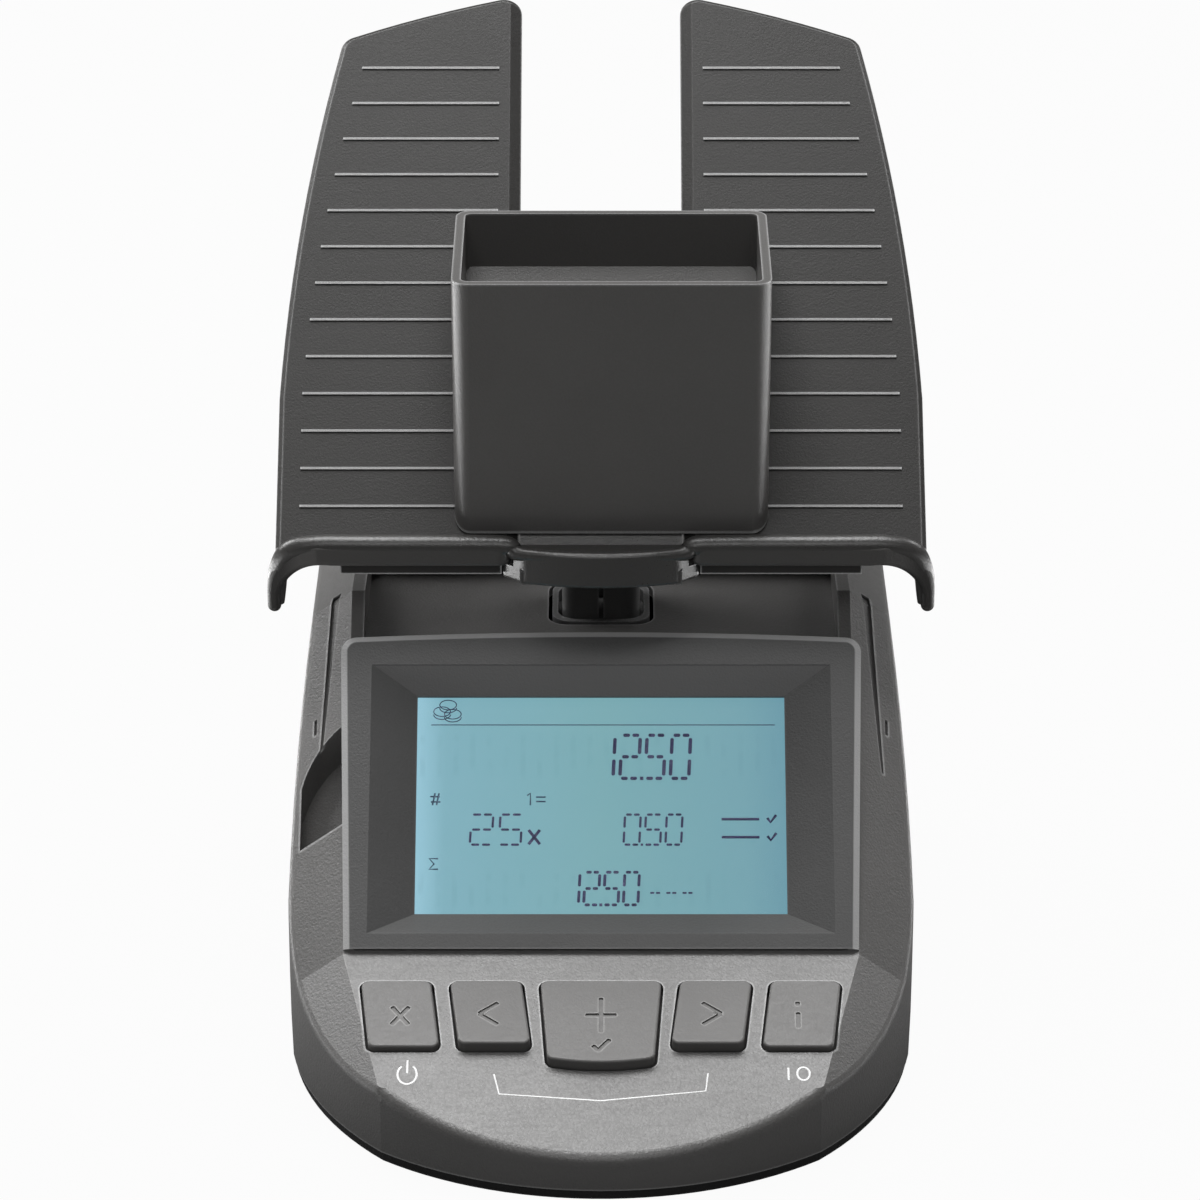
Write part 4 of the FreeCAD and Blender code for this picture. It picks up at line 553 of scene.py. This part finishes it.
def add_bar(shape, face, start, stop, width, height, point=0.0):
    """A flat bar between two places of a face, its ends drawn to a blunt point."""
    first = Vector((*start, 0))
    along = Vector((*stop, 0)) - first
    turn = Matrix.Rotation(math.atan2(along.y, along.x), 4, "Z")
    size = Matrix.Diagonal((along.length, width, height, 1))
    made = bmesh.ops.create_cube(shape, size=1)["verts"]
    middle = Matrix.Translation(first + along / 2)
    bmesh.ops.transform(shape, matrix=middle @ turn @ size, verts=made)
    if point:
        upright = [edge for edge in {edge for vert in made for edge in vert.link_edges}
                   if abs(edge.verts[0].co.z - edge.verts[1].co.z) > height / 2]
        cut = bmesh.ops.bevel(shape, geom=upright, offset=width * point, affect="EDGES",
                              segments=1, profile=0.5, material=-1)
        made = list({vert for vert in made if vert.is_valid} | set(cut["verts"]))
    bmesh.ops.transform(shape, matrix=face, verts=made)


# Strokes of a figure in a cell one wide and one high. Level strokes are split in two.
LEFT, RIGHT, LOW, HALF, HIGH = 0.0, 1.0, 0.0, 0.5, 1.0
STROKES = {
    "top": ((LEFT, HIGH), (RIGHT, HIGH)),
    "middle": ((LEFT, HALF), (RIGHT, HALF)),
    "bottom": ((LEFT, LOW), (RIGHT, LOW)),
    "upper_left": ((LEFT, HALF), (LEFT, HIGH)),
    "upper_right": ((RIGHT, HALF), (RIGHT, HIGH)),
    "lower_left": ((LEFT, LOW), (LEFT, HALF)),
    "lower_right": ((RIGHT, LOW), (RIGHT, HALF)),
}
FIGURES = {
    "0": ("top", "bottom", "upper_left", "upper_right", "lower_left", "lower_right"),
    "1": ("upper_right", "lower_right"),
    "2": ("top", "middle", "bottom", "upper_right", "lower_left"),
    "5": ("top", "middle", "bottom", "upper_left", "lower_right"),
    "-": ("middle",),
}
FIGURE_LEAN = 0.05
STROKE_GAP = 0.13
STROKE_POINT = 0.3

# Display figures in millimetres on the glass: text, left, low, pitch, width, height and weight.
INK_HEIGHT = 0.1
NUMBERS = (
    ("12.50", -1.6, 40.6, 6.3, 4.6, 11.6, 0.9),
    ("25", -32.6, 22.9, 7.2, 5.4, 8.0, 0.6),
    ("0.50", 5.6, 22.9, 5.2, 3.9, 8.0, 0.6),
    ("12.50", -9.2, 7.0, 4.9, 3.6, 8.6, 0.75),
    ("---", 11.8, 7.0, 4.0, 2.9, 6.3, 0.5),
)
TIMES_SIGN = (((-18.0, 23.0), (-15.2, 26.8)), ((-18.0, 26.8), (-15.2, 23.0)))
TIMES_WEIGHT = 0.75


def add_figure(shape, figure, left, low, width, height, weight):
    """One figure of the display in broken strokes."""
    for stroke in FIGURES[figure]:
        (x0, y0), (x1, y1) = STROKES[stroke]
        parts = 2 if y0 == y1 else 1
        for part in range(parts):
            ends = []
            for share in (part / parts, (part + 1) / parts):
                x = x0 + (x1 - x0) * share
                y = y0 + (y1 - y0) * share
                lean = FIGURE_LEAN * y * height
                ends.append(Vector((left + x * width + lean, low + y * height)))
            gap = (ends[1] - ends[0]) * STROKE_GAP
            start, stop = ends[0] + gap, ends[1] - gap
            add_bar(shape, LCD, start, stop, weight, INK_HEIGHT, STROKE_POINT)


def add_number(shape, text, left, low, pitch, width, height, weight):
    """A number of the display; a point takes no cell of its own."""
    for figure in text:
        if figure == ".":
            spot = left - (pitch - width) * 0.5
            start, stop = (spot - weight / 2, low), (spot + weight / 2, low)
            add_bar(shape, LCD, start, stop, weight, INK_HEIGHT)
            continue
        add_figure(shape, figure, left, low, width, height, weight)
        left += pitch


def make_figures():
    """The lit figures on the display glass."""
    shape = bmesh.new()
    for number in NUMBERS:
        add_number(shape, *number)
    for start, stop in TIMES_SIGN:
        add_bar(shape, LCD, start, stop, TIMES_WEIGHT, INK_HEIGHT)
    mesh = mesh_of(shape, "display_figures")
    new_piece("display_figures", mesh, segment_finish(), "base")


def outline_mesh(name, lines, width, height, face):
    """Thin lines on a face as one mesh: each line is its points and whether it closes."""
    curve = round_curve(name, width / 2, 1)
    for points, closed in lines:
        spline = curve.splines.new("POLY")
        spline.points.add(len(points) - 1)
        for point, place in zip(spline.points, points):
            point.co = (*place, 0, 1)
        spline.use_cyclic_u = closed
    mesh = mesh_of_curve(curve, name)
    mesh.transform(face @ Matrix.Diagonal((1, 1, height / width, 1)))
    return mesh


ARC_STEPS = 24
# A ring's arc in degrees; the line closes it.
RING = (0, 345)


def arc(middle, across, up, first, last):
    """Points of an ellipse's arc, between two angles in degrees."""
    angles = [first + (last - first) * step / ARC_STEPS for step in range(ARC_STEPS + 1)]
    turns = [math.radians(angle) for angle in angles]
    return [(middle[0] + across * math.cos(turn), middle[1] + up * math.sin(turn))
            for turn in turns]


# Lines of the display in millimetres on the glass: the rule, the discs' middles, half sizes and
# thickness, the signs at the captions' places, and the ticks and bars above their levels.
RULE = ((-42.6, 55.0), (43.6, 55.0))
RULE_WEIGHT = 0.24
DISCS = ((-39.9, 58.6), (-37.2, 57.9), (-38.4, 60.4))
DISC_HALF = (2.1, 1.3)
DISC_THICK = 0.8
CAPTIONS = (
    ((-42.4, 34.3), (-40.0, 34.3)),
    ((-42.6, 35.7), (-40.2, 35.7)),
    ((-42.0, 33.4), (-41.4, 36.6)),
    ((-41.0, 33.4), (-40.4, 36.6)),
    ((-18.4, 36.0), (-17.6, 36.6), (-17.6, 33.4)),
    ((-16.2, 34.4), (-13.8, 34.4)),
    ((-16.2, 35.6), (-13.8, 35.6)),
    ((-40.4, 19.2), (-42.6, 19.2), (-41.4, 17.8), (-42.6, 16.4), (-40.4, 16.4)),
)
CAPTION_WEIGHT = 0.42
TICK_LEVELS = (29.4, 24.6)
TICK = ((41.4, 0.6), (42.2, -0.5), (43.6, 1.4))
TICK_BAR = ((30.0, 0.3), (39.4, 0.3))
TICK_WEIGHT = 0.7


def make_display_lines():
    """The rule across the display, a small pile of discs and plain signs at the captions' places."""
    lines = [(RULE, False)]
    for across, up in DISCS:
        lines.append((arc((across, up), *DISC_HALF, *RING), True))
        lines.append((arc((across, up - DISC_THICK), *DISC_HALF, 180, 360), False))
    mesh = outline_mesh("display_rule", lines, RULE_WEIGHT, INK_HEIGHT, LCD)
    new_piece("display_rule", mesh, segment_finish(), "base")
    lines = [(points, False) for points in CAPTIONS]
    mesh = outline_mesh("display_captions", lines, CAPTION_WEIGHT, INK_HEIGHT, LCD)
    new_piece("display_captions", mesh, caption_finish(), "base")
    lines = [([(across, level + up) for across, up in points], False)
             for level in TICK_LEVELS for points in (TICK, TICK_BAR)]
    mesh = outline_mesh("display_ticks", lines, TICK_WEIGHT, INK_HEIGHT, LCD)
    new_piece("display_ticks", mesh, segment_finish(), "base")


# Print in millimetres on the key panel: the standby sign's middle, half sizes, arc in degrees and
# stroke, the two switch signs, and the bracket.
PRINT_HEIGHT = 0.06
STANDBY = (-46.5, -37.9)
STANDBY_HALF = (2.3, 3.0)
STANDBY_ARC = (125, 415)
STANDBY_STROKE = (0.4, 4.4)
SWITCH_BAR = ((45.0, -39.6), (45.0, -35.8))
SWITCH_RING = (48.6, -37.7)
SWITCH_HALF = (1.5, 2.0)
SIGNS_WEIGHT = 0.62
BRACKET = ((-25.7, -37.75), (-24.4, -43.9), (0, -46.0), (25.1, -43.0), (25.7, -37.5))
BRACKET_WEIGHT = 0.46


def make_panel_print():
    """White print below the keys: a standby sign, a bracket and a pair of switch signs."""
    across, up = STANDBY
    lines = [
        (arc(STANDBY, *STANDBY_HALF, *STANDBY_ARC), False),
        ([(across, up + level) for level in STANDBY_STROKE], False),
        (SWITCH_BAR, False),
        (arc(SWITCH_RING, *SWITCH_HALF, *RING), True),
    ]
    mesh = outline_mesh("panel_signs", lines, SIGNS_WEIGHT, PRINT_HEIGHT, PANEL)
    new_piece("panel_signs", mesh, print_finish(), "base")
    lines = [(BRACKET, False)]
    mesh = outline_mesh("panel_bracket", lines, BRACKET_WEIGHT, PRINT_HEIGHT, PANEL)
    new_piece("panel_bracket", mesh, print_finish(), "base")


# Key tops in millimetres: where they start below the panel's rear edge, their rounding, the rear
# level above the panel, and by key the front level and the length without its rounding.
KEY_TOP = 9.3
KEY_EDGE = 0.6
REAR_LEVEL = 1.1
KEY_TOPS = {
    "clear_key": (1.6, 21.2),
    "left_key": (3.0, 21.2),
    "plus_key": (3.0, 27.1),
    "right_key": (3.0, 21.2),
    "info_key": (1.6, 21.2),
}
# Strokes of the key signs in millimetres on the key panel.
ENGRAVED = 0.4
SIGN_WEIGHT = 1.15
SIGN_POINT = 0.2
KEY_SIGNS = {
    "clear_key": (((-50.7, -23.6), (-46.5, -17.8)), ((-50.7, -17.8), (-46.5, -23.6))),
    "left_key": (((-29.6, -20.7), (-24.9, -17.0)), ((-29.6, -20.7), (-24.9, -24.4))),
    "plus_key": (((-3.8, -21.0), (3.8, -21.0)), ((0, -15.2), (0, -26.8)),
                 ((-2.0, -31.0), (-0.6, -32.9)), ((-0.9, -32.9), (2.2, -29.0))),
    "right_key": (((29.2, -20.7), (24.5, -17.0)), ((29.2, -20.7), (24.5, -24.4))),
    "info_key": (((47.7, -24.6), (47.7, -19.6)), ((47.7, -17.6), (47.7, -16.2))),
}
VERTEX_MERGE = 1e-6
SHARP_ANGLE = math.radians(28)


def key_face(name):
    """The raked top of a key, in millimetres from the panel's rear edge."""
    front_level, length = KEY_TOPS[name]
    rake = math.atan2(front_level - REAR_LEVEL, length + 2 * KEY_EDGE)
    hinge = Matrix.Translation((0, -KEY_TOP + KEY_EDGE, REAR_LEVEL))
    back = Matrix.Translation((0, KEY_TOP - KEY_EDGE, 0))
    return PANEL @ hinge @ Matrix.Rotation(-rake, 4, "X") @ back


def make_key_cap(name):
    """A key cap with its sign cut into the top."""
    shape = bmesh.new()
    shape.from_mesh(NODES[name].data)
    bmesh.ops.remove_doubles(shape, verts=shape.verts, dist=VERTEX_MERGE)
    mesh = mesh_of(shape, name + "_cap")
    cap = new_piece(name + "_cap", mesh, KEY_CAP, name + "_body")
    for start, stop in KEY_SIGNS[name]:
        bar = bmesh.new()
        add_bar(bar, key_face(name), start, stop, SIGN_WEIGHT, 2 * ENGRAVED, SIGN_POINT)
        cutter = new_object("sign_cutter", mesh_of(bar, "sign_cutter"))
        carve = cap.modifiers.new("engraving", "BOOLEAN")
        carve.operation = "DIFFERENCE"
        carve.solver = "EXACT"
        carve.object = cutter
        carved = evaluated_mesh(cap)
        cap.modifiers.remove(carve)
        cap.data = carved
        bpy.data.objects.remove(cutter)
    cap.data.materials.clear()
    cap.data.materials.append(KEY_CAP)
    cap.data.shade_smooth()
    cap.data.set_sharp_from_angle(angle=SHARP_ANGLE)
    cap.modifiers.new("flat_faces", "WEIGHTED_NORMAL").keep_sharp = True
    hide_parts(name)


# The rolled top of the hub and the note ledge in millimetres, from the middle outwards: the places
# that draw its line, and its share of the radius there.
ROLL_RADIUS = 2.75
ROLL_STEPS = 8
ROLL_ROUNDNESS = 5
ROLL_ORDER = 3
LEDGE_ROLL = (
    ((0.0, -3.45, 117.75), 0.56),
    ((9.0, -2.9, 117.75), 0.56),
    ((16.5, -1.5, 117.75), 0.56),
    ((21.4, 0.0, 117.6), 0.7),
    ((22.4, 1.2, 119.0), 0.95),
    ((26.5, 1.45, 119.2), 1.0),
    ((40.0, 1.45, 119.2), 1.0),
    ((62.0, 1.45, 119.2), 1.0),
    ((71.5, 1.6, 119.3), 1.0),
    ((78.6, 2.4, 117.6), 1.0),
    ((81.2, 3.4, 111.0), 0.95),
    ((81.3, 3.8, 105.5), 0.8),
    ((81.2, 3.9, 102.6), 0.6),
)


def make_ledge_roll():
    """The rounded crest of the note ledge, from tip to tip of its drooping ends and over the hub."""
    left = [((-across, along, up), share) for (across, along, up), share in LEDGE_ROLL[:0:-1]]
    route = left + list(LEDGE_ROLL)
    curve = round_curve("ledge_roll", ROLL_RADIUS * MM, ROLL_ROUNDNESS)
    curve.resolution_u = ROLL_STEPS
    spline = curve.splines.new("NURBS")
    spline.points.add(len(route) - 1)
    for point, (place, share) in zip(spline.points, route):
        point.co = (*(Vector(place) * MM), 1)
        point.radius = share
    spline.order_u = ROLL_ORDER
    spline.use_endpoint_u = True
    mesh = mesh_of_curve(curve, "ledge_roll")
    mesh.shade_smooth()
    new_piece("ledge_roll", mesh, LEDGE, "tray")


FLOOR_HALF = 6.0
FLOOR_MOTTLE = 0.4
FLOOR_WHITENESS = 0.96
WHITE = (1, 1, 1, 1)


def make_floor():
    """A pale floor that keeps the shadow and fades to white for the camera."""
    shape = bmesh.new()
    bmesh.ops.create_grid(shape, x_segments=1, y_segments=1, size=FLOOR_HALF)
    floor = new_object("floor", mesh_of(shape, "floor"))
    finish = Finish("floor_pale")
    seen = finish.node("LightPath", out="Is Camera Ray")
    mottle = finish.noise(FLOOR_MOTTLE, 3)
    shade = finish.mix(mottle, tone(118), tone(124))
    matt = finish.node("BsdfDiffuse", None, {"Color": shade})
    white = finish.node("Emission", None, {"Color": WHITE, "Strength": 1.0})
    both = finish.node("MixShader", None, {0: seen * FLOOR_WHITENESS, 1: matt, 2: white})
    finish.node("OutputMaterial", None, {0: both})
    floor.data.materials.append(finish.material)


# Lamps: name, place, the point they look at, width, height and power in watts.
WORLD_STRENGTH = 0.12
SCALE_MIDDLE = (0, 0, 0.1)
LAMPS = (
    ("top_softbox", (-0.1, 0.25, 1.5), SCALE_MIDDLE, 1.0, 0.9, 25),
    ("front_fill", (0.0, -1.1, 1.1), SCALE_MIDDLE, 0.8, 0.5, 4),
    ("left_rear_softbox", (-1.0, 0.75, 0.95), SCALE_MIDDLE, 0.8, 0.8, 15),
    ("right_rear_softbox", (1.0, 0.75, 0.95), SCALE_MIDDLE, 0.6, 0.6, 6),
    ("left_card", (-0.44, 0.07, 0.004), (-0.44, 0.07, 1), 0.4, 0.5, 6),
    ("right_card", (0.44, 0.07, 0.004), (0.44, 0.07, 1), 0.4, 0.5, 3.8),
)


def add_lamp(name, place, aim, width, height, power):
    """An area lamp that looks at a point and is not seen itself."""
    lamp = bpy.data.lights.new(name, "AREA")
    lamp.shape = "RECTANGLE"
    lamp.size = width
    lamp.size_y = height
    lamp.energy = power
    holder = new_object(name, lamp)
    holder.visible_camera = False
    holder.location = place
    toward = Vector(aim) - Vector(place)
    holder.rotation_euler = toward.to_track_quat("-Z", "Y").to_euler()


def make_world():
    """Surroundings that are white for the camera and through glass, and dim light on the scale."""
    world = bpy.data.worlds.new("studio")
    bpy.context.scene.world = world
    world.use_nodes = True
    nodes = world.node_tree.nodes
    links = world.node_tree.links
    nodes.clear()
    path = nodes.new("ShaderNodeLightPath")
    seen = nodes.new("ShaderNodeMath")
    seen.operation = "ADD"
    seen.use_clamp = True
    links.new(path.outputs["Is Camera Ray"], seen.inputs[0])
    links.new(path.outputs["Is Transmission Ray"], seen.inputs[1])
    mix = nodes.new("ShaderNodeMixShader")
    links.new(seen.outputs[0], mix.inputs[0])
    for socket, strength in ((1, WORLD_STRENGTH), (2, 1.0)):
        light = nodes.new("ShaderNodeBackground")
        light.inputs["Color"].default_value = WHITE
        light.inputs["Strength"].default_value = strength
        links.new(light.outputs[0], mix.inputs[socket])
    output = nodes.new("ShaderNodeOutputWorld")
    links.new(mix.outputs[0], output.inputs[0])


def make_camera():
    """The photograph's viewing angle."""
    camera = bpy.data.cameras.new("camera")
    camera.lens = LENS
    camera.sensor_width = SENSOR
    camera.sensor_fit = "HORIZONTAL"
    camera.shift_x = SHIFT_X
    camera.clip_end = CLIP_END
    holder = new_object("camera", camera)
    away = Vector((0, -math.cos(VIEW_ELEVATION), math.sin(VIEW_ELEVATION)))
    holder.location = VIEW_TARGET + VIEW_DISTANCE * away
    holder.rotation_euler = (-away).to_track_quat("-Z", "Y").to_euler()
    bpy.context.scene.camera = holder
    bpy.context.scene.view_settings.view_transform = "Standard"


dress_nodes()
for key_name in KEY_TOPS:
    make_key_cap(key_name)
make_figures()
make_display_lines()
make_panel_print()
make_ledge_roll()
make_floor()
make_world()
for lamp_row in LAMPS:
    add_lamp(*lamp_row)
make_camera()
